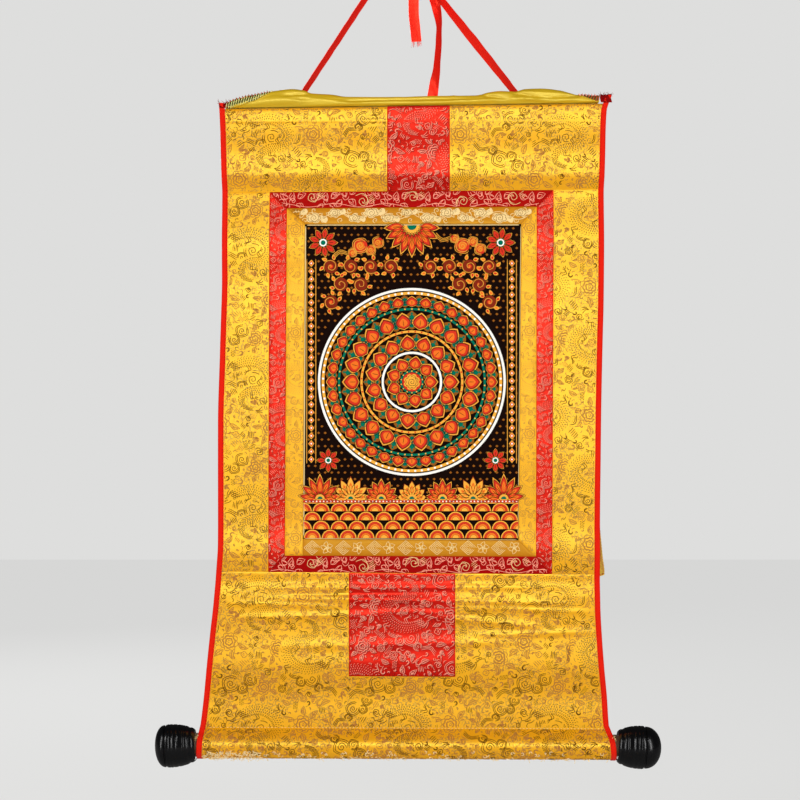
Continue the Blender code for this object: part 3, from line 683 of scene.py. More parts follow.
gleam = {"yellow": (252, 226, 92), "thread": (255, 200, 96), "red": (255, 70, 48), "cover": (255, 244, 140),
         "print": (60, 60, 60)}
finishes = {
    "yellow": clothFinish("yellowBrocade", (244, 168, 18), (228, 140, 6), gleam["yellow"], 2.9, gloss=0.34,
                          curl=(184, 120, 56)),
    "yellowPlain": clothFinish("yellowBrocadePlain", (236, 156, 14), (220, 130, 5), gleam["yellow"], 2.7),
    "yellowLine": clothFinish("oliveThread", (96, 58, 4), (74, 42, 3), gleam["thread"], 1.5, gloss=0.4),
    "tanLine": clothFinish("tanThread", (184, 122, 60), (150, 94, 38), gleam["thread"], 1.6, gloss=0.4),
    "red": clothFinish("redBrocade", (200, 8, 9), (166, 3, 6), gleam["red"], 3.5, mottle=0.45, gloss=0.32,
                       curl=(140, 1, 6), curlSize=6.0, curlCover=0.52),
    # a darker copy of the red ground for the top and bottom red strips: painted shade for the weaker sheen of
    # cloth cut across the weave
    "redDeep": clothFinish("redBrocadePaintedShade", (158, 4, 8), (132, 1, 5), gleam["red"], 1.6, gloss=0.45),
    "redLine": clothFinish("pinkThread", (255, 168, 142), (248, 132, 108), (255, 200, 180), 1.8, gloss=0.4),
    # dark red thread for the bindings' stitches, and for the painted shadow drawn beside the pink brocade
    # threads
    "darkRedLine": clothFinish("wineThreadAndPaintedShadow", (120, 1, 6), (98, 1, 4), gleam["red"], 1.3, gloss=0.5),
    "whiteThread": clothFinish("whiteThread", (244, 242, 238), (226, 222, 214), gloss=0.5),
    "paleFray": clothFinish("paleFray", (250, 226, 170), (236, 204, 138), gloss=0.5),
    "creamLine": clothFinish("creamThread", (240, 208, 142), (222, 182, 108), gloss=0.45),
    # a darker copy of the plain gold ground for the top and bottom gold strips: painted shade for the weaker
    # sheen of cloth cut across the weave
    "goldDeep": clothFinish("goldBrocadePaintedShade", (190, 112, 10), (168, 92, 5), gleam["yellow"], 1.9),
    "oliveFine": clothFinish("oliveFineThread", (150, 96, 18), (126, 76, 10), gleam["yellow"], gloss=0.5),
    "tape": clothFinish("redTape", (222, 30, 14), (194, 16, 8), gleam["red"], 1.6, pitch=0.7, gloss=0.5,
                        bump=0.5),
    "tapeEnd": clothFinish("tapeFrays", (132, 8, 10), (98, 2, 6), gleam["red"], 1.4, gloss=0.6, bump=0.6),
    "cover": clothFinish("coverSatin", (214, 173, 14), (182, 136, 5), gleam["cover"], 2.6, gloss=0.42,
                         bump=0.1),
    "ribbon": clothFinish("ribbonSatin", (240, 34, 22), (214, 16, 14), gleam["red"], 3.0, gloss=0.28),
    "serge": clothFinish("sergeThread", (206, 78, 36), (170, 50, 20), gloss=0.5),
    "sergePale": clothFinish("paleSergeThread", (236, 234, 150), (214, 206, 110), gloss=0.45),
    # dark olive for the bands under the crest serging: painted shade on the cover there
    "sergeShade": clothFinish("sergedEdgeShade", (84, 84, 10), (60, 56, 6), gloss=0.5),
    "print": clothFinish("printGround", (22, 9, 6), (14, 6, 4), gleam["print"], 1.3, gloss=0.5),
}
print("stage: finishes")


# Motifs are drawn as complex numbers, x + y·i, in millimetres.
def through(points, spacing=1.3):
    # a smooth line through a few points, with even steps
    points = np.array(points, complex)
    padded = np.concatenate([[2 * points[0] - points[1]], points, [2 * points[-1] - points[-2]]])
    t = np.linspace(0, 1, 12, endpoint=False)[:, None]
    a, b, c, d = padded[:-3], padded[1:-2], padded[2:-1], padded[3:]
    square, cube = 2 * a - 5 * b + 4 * c - d, 3 * b - a - 3 * c + d
    bends = 0.5 * (2 * b + (c - a) * t + square * t ** 2 + cube * t ** 3)
    return even(np.append(bends.T.ravel(), points[-1]), spacing)


def even(line, spacing=1.3):
    run = runAlong(line)
    at = np.linspace(0, run[-1], max(2, round(run[-1] / spacing) + 1))
    return np.interp(at, run, line.real) + 1j * np.interp(at, run, line.imag)


def squarish(angle):
    # reach of a rounded square at an angle
    return (np.cos(angle) ** 4 + np.sin(angle) ** 4) ** -0.25


def coil(size, turns=1.8, start=0.0, square=0.7):
    # a rounded square spiral
    t = np.linspace(0.1, 1, int(turns * 14))
    turn = 2 * math.pi * turns * t
    return size * t * (1 + square * (squarish(turn) - 1)) * np.exp(1j * (turn + start))


def scallop(size, lobes, depth, start=0.0, share=1.0):
    t = np.linspace(0, share, int(lobes * 9 * share) + 1)
    reach = 1 - depth * (1 - np.abs(np.sin(math.pi * lobes * t)) ** 0.7)
    return size * reach * np.exp(1j * (2 * math.pi * t + start))


def leaf(length, width, veins=4):
    t = np.linspace(0, 1, 9)
    spine = length * t + 0.12j * length * np.sin(math.pi * t)
    half = 0.5j * width * np.sin(math.pi * t ** 0.8)
    lines = [spine + half, spine - half, spine[:-1]]
    for k in range(veins):
        foot = 0.18 + 0.6 * k / veins
        middle = length * foot + 0.12j * length * math.sin(math.pi * foot)
        for side in (1, -1):
            tip = middle + length * 0.13 + side * 0.36j * width * math.sin(math.pi * min(1, foot + 0.12))
            lines.append(np.array([middle, tip]))
    return lines


def peony(size):
    lines = [coil(size * 0.18, 1.3)]
    rounds = ((0.34, 5, 0.2), (0.42, 5, 0.2), (0.64, 7, 0.2), (0.73, 7, 0.2), (1.0, 8, 0.24))
    for reach, lobes, depth in rounds:
        lines.append(scallop(size * reach, lobes, depth, lobes * 0.37))
    for k in range(16):
        ray = np.exp(2j * math.pi * (k + 0.5) / 16)
        lines.append(np.array([ray * size * 0.8, ray * size * 0.9]))
    return lines


def turned(lines, x, y, degrees, size=1.0, flip=False):
    spin = size * np.exp(1j * math.radians(degrees))
    return [x + 1j * y + spin * (np.conj(line) if flip else line) for line in lines]


def spray(size):
    # a peony with leaves, a bud and a stem
    lines = peony(size)
    for angle, far, length in ((25, 1.0, 1.15), (70, 1.0, 0.95), (140, 1.0, 1.2), (200, 1.0, 0.9),
                               (255, 1.02, 1.2), (315, 1.0, 1.0)):
        foot = far * size * np.exp(1j * math.radians(angle))
        lines += turned(leaf(length * size, 0.5 * size), foot.real, foot.imag, angle + 18)
    bud = 2.1 * size * np.exp(1j * math.radians(170))
    lines += [bud + scallop(size * 0.34, 4, 0.25), bud + coil(size * 0.17, 1.2)]
    lines.append(through([-size, -1.35 * size - 0.35j * size, bud + 0.3 * size]))
    for k in range(15):  # small curls that crowd round the flower
        spot = size * (1.35 + 0.45 * (k % 3) / 2) * np.exp(1j * (0.2 + 2 * math.pi * k / 15))
        lines += [spot + line * np.exp(2.4j * k) for line in comma(0.17 * size)[:2]]
    return lines


def cloud(size):
    lines = []
    for x, y, reach, turns, start in ((0, 0, 1, 1.9, 0.4), (1.3, -0.8, 0.64, 1.6, 2.4),
                                      (2.45, 0.05, 0.74, 1.7, 1.1), (-1.2, -0.75, 0.55, 1.5, 4.0)):
        centre = size * (x + 1j * y)
        lines.append(centre + coil(size * reach * 0.56, turns, start))
        for rim in (0.78, 1.0):
            t = np.linspace(0.1, 5.6, 22) + start
            lines.append(centre + size * reach * rim * (0.35 + 0.65 * squarish(t)) * np.exp(1j * t))
    for k in range(3):
        tail = [-1.8 - 1j + 0.22j * k, -2.8 - 0.5j + 0.2j * k, -3.8 - 1.1j + 0.26j * k]
        lines.append(size * through(tail, 0.12))
    return lines


def hatch(length, count, gap=2.6):
    return [np.array([0, length * 0.5, length]) * (1 + 0.12j) + 1j * gap * k + 0.35 * gap * (k % 2)
            for k in range(count)]


def comma(size):
    t = np.linspace(0, 1, 12)
    hook = size * (1 - 0.72 * t) * np.exp(1.5j * math.pi * t)
    return [hook, 0.72 * hook, np.array([size, 1.5 * size - 0.7j * size])]


def sprig(size):
    lines = leaf(size, 0.42 * size, 2)
    for angle in (50, -42):
        lines += turned(leaf(0.68 * size, 0.32 * size, 1), -0.1 * size, 0, angle)
    return lines


def scales(size):
    return [k * 2.0 + row * 2.0j + row % 2 + 0.85 * np.exp(1j * np.linspace(-1.3, 1.3, 4))
            for row in range(3) for k in range(round(size / 1.3))]


def bud(size):
    lines = [coil(size * 0.3, 1.4), scallop(size * 0.56, 5, 0.22), scallop(size * 0.86, 6, 0.22, 0.5)]
    return lines + turned(leaf(size, 0.4 * size, 1), 0.8 * size, 0, 12)


def dragonHead():
    return [
        through([3j, 4 + 4.4j, 8 + 3.2j, 11 + 4.4j, 12.6 + 2.8j, 11 + 1.6j, 7 + 1.2j]),
        through([-3j, 4 - 3.8j, 8 - 2.8j, 10.4 - 1.0j]),
        through([3.5 + 0j, 7.5 + 0.2j, 11 + 1.2j]),
        4.2 + 2.2j + coil(1.1, 1.2),
        through([1 + 3.8j, -3 + 7j, -10 + 8.6j]),
        through([2.6 + 4.4j, -1 + 9j, -7 + 12j]),
        through([11 + 4j, 16 + 7j, 14 + 11j, 18 + 13j]),
        through([10 - 1.4j, 14.5 - 4j, 13.5 - 8.5j, 17 - 10j]),
    ] + [through([-1.5 - k + (5 - 2.4 * k) * 1j, -7 - k + (6 - 3.0 * k) * 1j, -12 - k + (4.5 - 3.2 * k) * 1j])
         for k in range(4)]


def dragon(size=1.0):
    # a winding body of scale rows, with a finned back, four legs, a flaming tail and a pearl
    spine = through([0, 14 + 9j, 32 + 12j, 50 + 4j, 58 - 12j, 48 - 27j, 30 - 30j, 16 - 40j, 20 - 54j,
                     38 - 60j], 0.8)
    ahead = np.gradient(spine)
    ahead /= np.abs(ahead)
    side = 1j * ahead
    t = np.linspace(0, 1, len(spine))
    half = np.interp(t, [0, 0.08, 0.35, 0.7, 1], [3.4, 5.2, 6.4, 4.4, 0.8])
    lines = []
    for k in range(4, len(spine) - 8, 4):
        for row, step in ((-0.9, 0), (-0.3, 2), (0.3, 0), (0.9, 2)):
            centre = spine[k + step] + side[k] * half[k] * row
            lines.append(centre + 1.2 * np.exp(1j * np.linspace(-1.3, 1.3, 3)) * ahead[k])
    for k in range(5, len(spine) - 8, 5):
        root = spine[k] + side[k] * half[k] * 1.3
        lines += [np.array([root, root + side[k] * 1.8 + ahead[k] * 2.4]),
                  spine[k:k + 4] - side[k:k + 4] * half[k:k + 4] * 1.15]
    for k, way in ((38, -1), (70, 1), (118, -1), (140, 1)):
        knee = spine[k] + way * side[k] * (half[k] + 6) + ahead[k] * 3
        foot = knee + way * side[k] * 3 - ahead[k] * 6
        lines += [through([spine[k] + way * side[k] * half[k], knee, foot]),
                  through([spine[k - 5] + way * side[k - 5] * half[k], knee - ahead[k] * 3, foot - 1.5])]
        for claw in (-0.7, 0.0, 0.7):
            reach = -ahead[k] * np.exp(1j * claw)
            lines.append(through([foot, foot + 3 * reach, foot + 4.6 * reach + way * side[k] * 1.6]))
    lines += turned(dragonHead(), 0, 0, math.degrees(np.angle(-ahead[0])), 1.0, True)
    for fan in (-0.5, -0.1, 0.35):
        sweep = ahead[-1] * np.exp(1j * fan)
        lines.append(through([spine[-1], spine[-1] + 5 * sweep, spine[-1] + 11 * sweep * np.exp(0.5j)]))
    pearl = -22 - 10j
    lines += [pearl + scallop(3.2, 6, 0.02), pearl + coil(2.0, 1.3)]
    for angle in (0.6, 1.4, 2.2):
        lines.append(through([pearl + 3.4 * np.exp(1j * angle), pearl + 7.5 * np.exp(1j * (angle + 0.3))]))
    return [line * size for line in lines]


# The brocade's repeat.
brocade = {
    "wide": 188,
    "tall": 164,
    # motif, thread, and each one's x, y, turn and size, which is below zero where it is mirrored
    "figures": [
        ("dragon", "yellowLine", [(34, -26, 0, 0.86), (146, -116, 178, 0.86)]),
        ("cloud", "yellowLine", [(63, -38, 0, 11.5), (166, -66, -20, -10), (24, -146, 12, 10.5),
                                 (128, -140, 160, -9.5), (180, -14, 30, 8.5)]),
        ("spray", "tanLine", [(116, -34, 8, 12.5), (22, -92, 130, -12), (178, -112, 60, 12),
                              (84, -100, 210, 11), (66, -150, 300, -10), (158, -32, 200, -9),
                              (128, -78, 340, 9)]),
        ("hatch", "yellowLine", [(6, -34, 52, 9), (96, -64, 40, 8)]),
        ("hatch", "tanLine", [(48, -118, 128, 8)]),
        ("hatch", "yellowLine", [(148, -88, 60, 8)]),
        ("hatch", "tanLine", [(104, -150, 30, 8)]),
        ("leaf", "tanLine", [(8, -60, 70, 14), (100, -8, 150, 12), (140, -8, 20, 12), (52, -72, 250, 12),
                             (102, -122, 80, 12), (4, -120, 320, 12), (160, -150, 10, 13),
                             (78, -8, 190, 11), (184, -86, 100, 11)]),
    ],
    "draw": {
        "dragon": dragon, "cloud": cloud, "spray": spray, "comma": comma, "sprig": sprig,
        "scales": scales, "bud": bud,
        "hatch": lambda size: hatch(size, 5),
        "leaf": lambda size: leaf(size, size * 0.45),
        "dashes": lambda size: hatch(size, 4, 2),
        "coil": lambda size: [coil(size, 1.9), coil(1.25 * size, 0.7, 2.6)],
        "fleck": lambda size: [size * np.exp(1j * np.linspace(-1.1, 1.4, 4))],
    },
    "scale": 0.76,
    "clear": 1.6,  # what one motif keeps from another
    # small figures that fill what is left: motif, least and greatest size, share in tan
    "fillers": [("bud", 4.5, 7.5, 0.85), ("sprig", 6, 10, 0.8), ("comma", 3, 6, 0.5),
                ("dashes", 5, 9, 0.35), ("scales", 5, 8, 0.25), ("coil", 3, 5.4, 0.3)],
    "tries": 5200,
    "fleck": ("fleck", 1.6, 3, 0.75),
    "flecks": 3200,
}


def drawRepeat():
    # every line of one repeat by its thread; a motif stops short of those drawn before it
    taken = set()
    lines = {"yellowLine": [], "tanLine": []}
    cell = brocade["clear"]
    wide, tall = round(brocade["wide"] / cell), round(brocade["tall"] / cell)

    def cellOf(point):
        return round(point.real / cell) % wide, round(point.imag / cell) % tall

    for motif, thread, places in brocade["figures"]:
        for x, y, turn, size in places:
            mine = set()
            for line in turned(brocade["draw"][motif](abs(size)), x, y, turn, 1.0, size < 0):
                line = even(line)
                cells = [cellOf(point) for point in line]
                free = np.array([c not in taken for c in cells])
                lines[thread] += runsOf(line, free)
                mine.update(c for c, ok in zip(cells, free) if ok)
            taken |= {((a + i) % wide, (b + j) % tall) for a, b in mine
                      for i in (-1, 0, 1) for j in (-1, 0, 1)}
    chance = np.random.default_rng(12)
    for k in range(brocade["tries"] + brocade["flecks"]):
        facts = brocade["fillers"][chance.integers(len(brocade["fillers"]))]
        motif, least, greatest, tanShare = facts if k < brocade["tries"] else brocade["fleck"]
        at = chance.uniform(0, brocade["wide"]) - 1j * chance.uniform(0, brocade["tall"])
        size, turn = chance.uniform(least, greatest), chance.uniform(0, 360)
        thread = "tanLine" if chance.random() < tanShare else "yellowLine"
        figure = [even(line) for line in turned(brocade["draw"][motif](size), at.real, at.imag, turn)]
        cells = {cellOf(point) for line in figure for point in line}
        if len(cells & taken) <= 0.2 * len(cells):
            lines[thread] += figure
            taken |= cells
    return lines


def runsOf(line, free):
    # the stretches of a line whose points are free
    cuts = np.flatnonzero(np.diff(free.astype(int))) + 1
    return [run for run, ok in zip(np.split(line, cuts), np.split(free, cuts)) if ok[0] and len(run) > 1]


def cutTo(inside, lines, shift=0.0, spacing=1.0):
    # the stretches of shifted lines that lie inside a piece
    lines = [even(line + shift, spacing) for line in lines]
    return [run for line in lines for run in runsOf(line, inside(line.real, line.imag))]


repeat = drawRepeat()


def brocadeOn(name, box, inside, shift, inks=("yellowLine", "tanLine"), place=onCloth,
              width=0.92, scale=1.0, shadowInk=None):
    # the repeat over a piece's box, cut to the piece by inside(x, z)
    west, east, foot, top = box
    scale = scale * brocade["scale"]
    steps = [(i * brocade["wide"] + 1j * j * brocade["tall"]) * scale
             for i in range(-4, 5) for j in range(-8, 9)]
    made = []
    for thread, ink in zip(("yellowLine", "tanLine"), inks):
        kept = []
        for line in [line * scale + shift for line in repeat[thread]]:
            for step in steps:
                moved = line + step
                if (moved.real.max() >= west and moved.real.min() <= east
                        and moved.imag.max() >= foot and moved.imag.min() <= top):
                    kept += runsOf(moved, inside(moved.real, moved.imag))
        if kept:
            made.append(drawLines(name + ink, kept, width, place, finishes[ink]))
            # with a shadow ink, each line is drawn again a little down and to the right in a dark thread: a
            # painted shadow beside each raised thread
            if shadowInk:
                beside = [line + 0.6 - 0.6j for line in kept]
                made.append(drawLines(name + shadowInk, beside, width * 0.8, place, finishes[shadowInk]))
    return joined(name, made)


def inQuad(corners, margin=0.5):
    # whether points lie inside four corners given clockwise from the upper left
    corners = [x + 1j * z for x, z in corners]

    def test(x, z):
        point = x + 1j * z
        inner = np.ones(np.shape(x), bool)
        for a, b in zip(corners, corners[1:] + corners[:1]):
            inner &= ((point - a) * np.conj(b - a)).imag / abs(b - a) < -margin
        return inner
    return test


def quadPlace(corners):
    # shares across and down, 0 to 1, inside four corners, laid on the cloth
    upperLeft, upperRight, lowerRight, lowerLeft = [np.array(c) for c in corners]

    def place(u, v):
        u, v = u[:, None], v[:, None]
        upper = upperLeft * (1 - u) + upperRight * u
        flat = upper * (1 - v) + (lowerLeft * (1 - u) + lowerRight * u) * v
        return onCloth(flat[:, 0], flat[:, 1])
    return place


def quadSheet(name, corners, finish, spacing, roll=0.32):
    wide = max(abs(corners[1][0] - corners[0][0]), abs(corners[2][0] - corners[3][0]))
    tall = max(abs(corners[0][1] - corners[3][1]), abs(corners[1][1] - corners[2][1]))
    columns = spaced(0, wide, spacing) / wide
    rows = spaced(tall, 0, min(spacing, 3.0)) / tall
    return makeSheet(name, columns, rows, quadPlace(corners), finish, roll=roll)


def panelEnds(z):
    # the panels' own side edges, inside the bindings' folds
    return leftEdge(z) + 1.3, rightEdge(z) - 1.3


# how near the drawn threads come to a seam and to a door's edge, and how far they go below
# the pocket's seam
seamClear, doorClear, pocketDrawn = 0.7, 0.8, 58.0


def betweenBindings(x, z, clear=6.2):
    return (x > leftEdge(z) + clear) & (x < rightEdge(z) - clear)


# Top panel: one piece of yellow brocade, its hem folded over the slat.
def makeTopPanel():
    radius, hemFoot = scroll["hemRadius"], scroll["hemFoot"]
    hemTall, bendLong, flap = 12.0, math.pi * radius, 13.0  # up the front, over the slat, down behind
    west, east = panelEnds(hemFoot)
    columns = spaced(0, 1, 3.4 / (east - west), edges=False)
    bendStart = hemFoot + hemTall
    rows = list(spaced(scroll["upperSeam"], hemFoot, 2.6))
    rows += [hemFoot + hemTall * t for t in (0.2, 0.4, 0.6, 0.8, 1.0)]
    rows += [bendStart + bendLong * k / 8 for k in range(1, 9)]
    rows += [bendStart + bendLong + flap * t for t in (0.3, 0.65, 1.0)]

    def place(share, level):
        # up the front, over the slat and down behind it
        z = np.minimum(level, hemFoot)
        left, right = panelEnds(z)
        x = left + (right - left) * share
        z = z + x * seamSlope(z)
        middle = topEdge(x) - 0.5 - radius
        up = np.clip((level - hemFoot) / hemTall, 0, 1)
        angle = np.clip((level - bendStart) / radius, 0, math.pi)
        down = np.clip((level - bendStart - bendLong) / flap, 0, 1)
        z = np.where(level > hemFoot, hemFoot + (middle - hemFoot) * up, z)
        y = np.where(angle > 0, radius * (1 - np.cos(angle)), clothY(x, z))
        z = z + radius * np.sin(angle) - np.where(down > 0, (middle - hemFoot) * down, 0)
        return np.stack([x, y, z], axis=-1)

    panel = makeSheet("topPanel", columns, rows, place, finishes["yellow"], roll=0.3)
    carry(panel, "yellow_brocade", "top_panel")
    west, east = scroll["topDoor"]

    def inside(x, z):
        return (betweenBindings(x, z) & (z < topEdge(x) - 1.4) & (z > seamAt("upperSeam", x) + seamClear)
                & ((x < west - doorClear) | (x > east + doorClear)))

    threads = brocadeOn("topPanelBrocade", (-176, 204, -236, -146), inside, -172 - 152j)
    carry(threads, "yellow_brocade")
    stitches = [np.array([x, x + 2.0]) + 1j * (-164.6 + 0.003 * x) for x in np.arange(-112.0, 196.0, 3.2)]
    stitches = [line for line in stitches if not west - 2 < line[0].real < east]
    hem = drawLines("hemStitches", stitches, 0.7, onCloth, finishes["oliveFine"])
    carry(hem, "yellow_brocade")


def makeSideStrips():
    for side, name, node in ((-1, "sideStripLeft", "side_strip_left"),
                             (1, "sideStripRight", "side_strip_right")):
        first, last = (0, 3) if side < 0 else (1, 2)
        seamTop, seamFoot = scroll["redOuter"][first][0], scroll["redOuter"][last][0]

        def ends(z, atBinding=0.0, atSeam=0.1):
            # the strip's left and right edges, drawn in by so much
            down = (z - scroll["upperSeam"]) / (scroll["lowerSeam"] - scroll["upperSeam"])
            seam = seamTop + (seamFoot - seamTop) * down
            left, right = panelEnds(z)
            return (left + atBinding, seam - atSeam) if side < 0 else (seam + atSeam, right - atBinding)

        def place(share, level):
            left, right = ends(level)
            x = left + (right - left) * share
            return onCloth(x, level + x * seamSlope(level))

        rows = spaced(scroll["lowerSeam"], scroll["upperSeam"], 3.6)
        strip = makeSheet(name, spaced(0, 47, 4.0) / 47, rows, place, finishes["yellow"], roll=0.32)
        carry(strip, "yellow_brocade", node)

        def inside(x, z):
            left, right = ends(z, atBinding=4.9, atSeam=0.6)
            return ((x > left) & (x < right) & (z < seamAt("upperSeam", x) - seamClear)
                    & (z > seamAt("lowerSeam", x) + seamClear))

        box = (-180, -120, -606, -230) if side < 0 else (145, 204, -606, -230)
        shift = -190 - 262j if side < 0 else 96 - 300j
        threads = brocadeOn(name + "Brocade", box, inside, shift)
        carry(threads, "yellow_brocade")


# Bottom panel: yellow brocade that flares to the roller and goes round it.
def makeBottomPanel():
    around, seamLevel = pocketRun[-1], scroll["pocketSeam"]
    flap = 9.0  # what stands up behind the pocket's seam
    rows = list(spaced(scroll["lowerSeam"], -682.0, 1.9)) + list(np.linspace(-684.5, -750.5, 24))
    rows += list(seamLevel - np.concatenate([np.linspace(0, 3, 4), np.linspace(4.5, around, 40)]))
    rows += list(seamLevel - around - np.array([2.0, 5.0, flap]))
    columns = spaced(0, 1, 3.4 / 385, edges=False)

    def heightOf(level):
        # height of a place on the cloth, also where it goes round the roller
        past = seamLevel - level
        return np.where(past > 0, np.interp(past, pocketRun, pocketPoints[:, 1]), level)

    def place(share, level):
        past = seamLevel - level
        left, right = panelEnds(heightOf(level))
        turnedIn = np.where(past > around - 1.0, 5.0, 0.0)
        x = left + turnedIn + (right - left - 2 * turnedIn) * share
        points = onCloth(x, level + x * seamSlope(np.maximum(level, seamLevel)))
        rise = np.clip(past - around, 0, flap)
        points[:, 1] += np.where(rise > 0, 0.1, 0.0)
        points[:, 2] += rise
        return points

    panel = makeSheet("bottomPanel", columns, rows[::-1], place, finishes["yellow"], roll=0.3)
    carry(panel, "yellow_brocade", "bottom_panel")
    west, east, foot = scroll["bottomDoor"]

    def inside(x, z):
        beside = (x < west - doorClear) | (x > east + doorClear) | (z < foot - doorClear)
        past = seamLevel - z
        return (betweenBindings(x, heightOf(z)) & beside & (z < seamAt("lowerSeam", x) - seamClear)
                & (past < pocketDrawn) & (np.abs(past) > 0.9))

    threads = brocadeOn("bottomPanelBrocade", (-198, 212, -815, -600), inside, -182 - 600j)
    carry(threads, "yellow_brocade")
    stitches = [np.array([x, x + 1.7]) + 1j * (seamAt("pocketSeam", x) + 0.5)
                for x in np.arange(-184, 196, 3.3)]
    seam = drawLines("pocketStitches", stitches, 0.8, onCloth, finishes["paleFray"])
    carry(seam, "yellow_brocade")
    frays = makePocketFrays()
    carry(frays, "yellow_brocade")


def makePocketFrays():
    # loose threads and curls along the pocket's foot, more of them at the left
    chance = np.random.default_rng(3)
    reach, slope = 13.2, seamSlope(scroll["pocketSeam"])
    wisps = []
    for x in np.concatenate([chance.uniform(-190, -132, 120), chance.uniform(-132, 202, 120)]):
        angle = math.radians(chance.uniform(48, 78))
        start = (x, pocket["middleY"] - reach * math.cos(angle),
                 pocket["centre"] - reach * math.sin(angle) + slope * x)
        heading = (chance.choice([-1, 1]), -0.3, chance.uniform(-0.5, 0.3))
        wisps.append(wisp(chance, start, heading, chance.uniform(2.0, 5.0), 0.3))
    loose = looseThreads("pocketWisps", wisps, 0.5, finishes["paleFray"])
    curls = []
    for x in np.concatenate([chance.uniform(-190, -134, 56), chance.uniform(-134, 202, 44)]):
        at = x + 1j * (scroll["pocketSeam"] - chance.uniform(25.0, 31.0))
        hook = comma(chance.uniform(1.0, 2.2))[0]
        curls.append(at + hook * np.exp(1j * chance.uniform(0, 6.3)))
    lying = drawLines("pocketCurls", curls, 0.7, onCloth, finishes["paleFray"], 0.5, 0.6)
    return joined("pocketFrays", [loose, lying])


def makeDoor(name, node, box, sides, place, rows, inside, shift):
    west, east = sides
    door = makeSheet(name, spaced(west, east, 3.4), rows, place, finishes["red"], roll=0.4)
    carry(door, "red_brocade", node)

    def insideSides(x, z):
        return (x > west + doorClear) & (x < east - doorClear) & inside(x, z)

    def onDoor(x, z, lift):
        return onCloth(x, z, lift + scroll["laid"])

    # the dark red copies beside the pink threads are painted shadow
    threads = brocadeOn(name + "Brocade", (west, east) + box, insideSides, shift, ("redLine", "redLine"),
                        onDoor, shadowInk="darkRedLine", width=0.8)
    carry(threads, "red_brocade")


def makeDoors():
    hemFoot, top = scroll["hemFoot"], -152.5
    west, east, foot = scroll["bottomDoor"]

    def topPlace(x, level):
        share = np.clip((level - hemFoot) / (top - hemFoot), 0, 1)
        onHem = hemFoot + (topEdge(x) - 0.4 - hemFoot) * share
        z = np.where(level > hemFoot, onHem, level + x * seamSlope(level))
        return onCloth(x, z, scroll["laid"])

    def lowPlace(x, level):
        return onCloth(x, level + x * seamSlope(level), scroll["laid"])

    def insideTop(x, z):
        return (z < topEdge(x) - 1.6) & (z > seamAt("upperSeam", x) + doorClear)

    def insideLow(x, z):
        return (z > foot + doorClear) & (z < seamAt("lowerSeam", x) - 0.9)

    makeDoor("topDoor", "top_door", (-236, -146), scroll["topDoor"], topPlace,
             spaced(scroll["upperSeam"], top, 2.6), insideTop, -30 - 120j)
    makeDoor("bottomDoor", "bottom_door", (-706, -600), (west, east), lowPlace,
             spaced(foot, scroll["lowerSeam"] - 0.2, 2.0), insideLow, -86 - 560j)


makeTopPanel()
makeSideStrips()
makeBottomPanel()
makeDoors()
print("stage: yellow panels and doors")


def frameCorners(outer, inner, side, butted=False):
    # the four corners of one frame strip, a seam's width in from its neighbours
    gap, cut = 0.12, 0.2
    signs = ((1, -1), (-1, -1), (-1, 1), (1, 1))
    o = [(x + gap * sx, z + gap * sz) for (x, z), (sx, sz) in zip(outer, signs)]
    i = [(x - gap * sx, z - gap * sz) for (x, z), (sx, sz) in zip(inner, signs)]

    def moved(corner, dx=0.0, dz=0.0):
        return corner[0] + dx, corner[1] + dz

    if side == "Top":
        return [moved(o[0], cut), moved(o[1], -cut), moved(i[1], -cut), moved(i[0], cut)]
    if side == "Bottom":
        foot = i[3][0] + cut if butted else o[3][0] + cut
        return [moved(i[3], cut), moved(i[2], -cut), moved(o[2], -cut), (foot, o[3][1])]
    if side == "Left":
        low = (i[3][0] - cut, o[3][1]) if butted else moved(i[3], dz=cut)
        return [moved(o[0], dz=-cut), moved(i[0], dz=-cut), low, moved(o[3], dz=0 if butted else cut)]
    return [moved(i[1], dz=-cut), moved(o[1], dz=-cut), moved(o[2], dz=cut), moved(i[2], dz=cut)]


# Frame strips: bold figures run along the top and bottom ones, which are cut across the weave.
def lotusRun(length, tall):
    # pink petals in double outline and cream curls, for a strip of that length
    pink, cream = [], []
    x, k = 6.0, 0
    while x < length - 4:
        lean = (-1) ** k * 0.12 * tall
        at = x + 1j * lean
        if k % 3 == 2:
            cream += turned([coil(0.34 * tall, 1.9, 0.6), coil(0.5 * tall, 0.8, 2.0)], x, lean, 20 * k)
            cream += turned(hatch(0.34 * tall, 4, 1.7), x + 0.45 * tall, lean - 2, 30)
        else:
            for far, angle in ((0.0, 90), (0.32, 30), (0.32, 150), (0.26, -40), (0.26, 220)):
                foot = at + far * tall * np.exp(1j * math.radians(angle))
                pink += turned(leaf(0.55 * tall, 0.34 * tall, 1)[:2], foot.real, foot.imag, angle)
                pink += turned(leaf(0.36 * tall, 0.2 * tall, 1)[:2], foot.real, foot.imag + 0.3, angle)
            pink.append(at + coil(0.2 * tall, 1.4, k))
        x += 0.98 * tall + 3.0 * math.sin(2.3 * k)
        k += 1
    stem = np.arange(0, length, 1.3)
    pink.append(stem + 1j * (-0.36 * tall + 0.1 * tall * np.sin(stem / 8.0)))
    return pink, cream


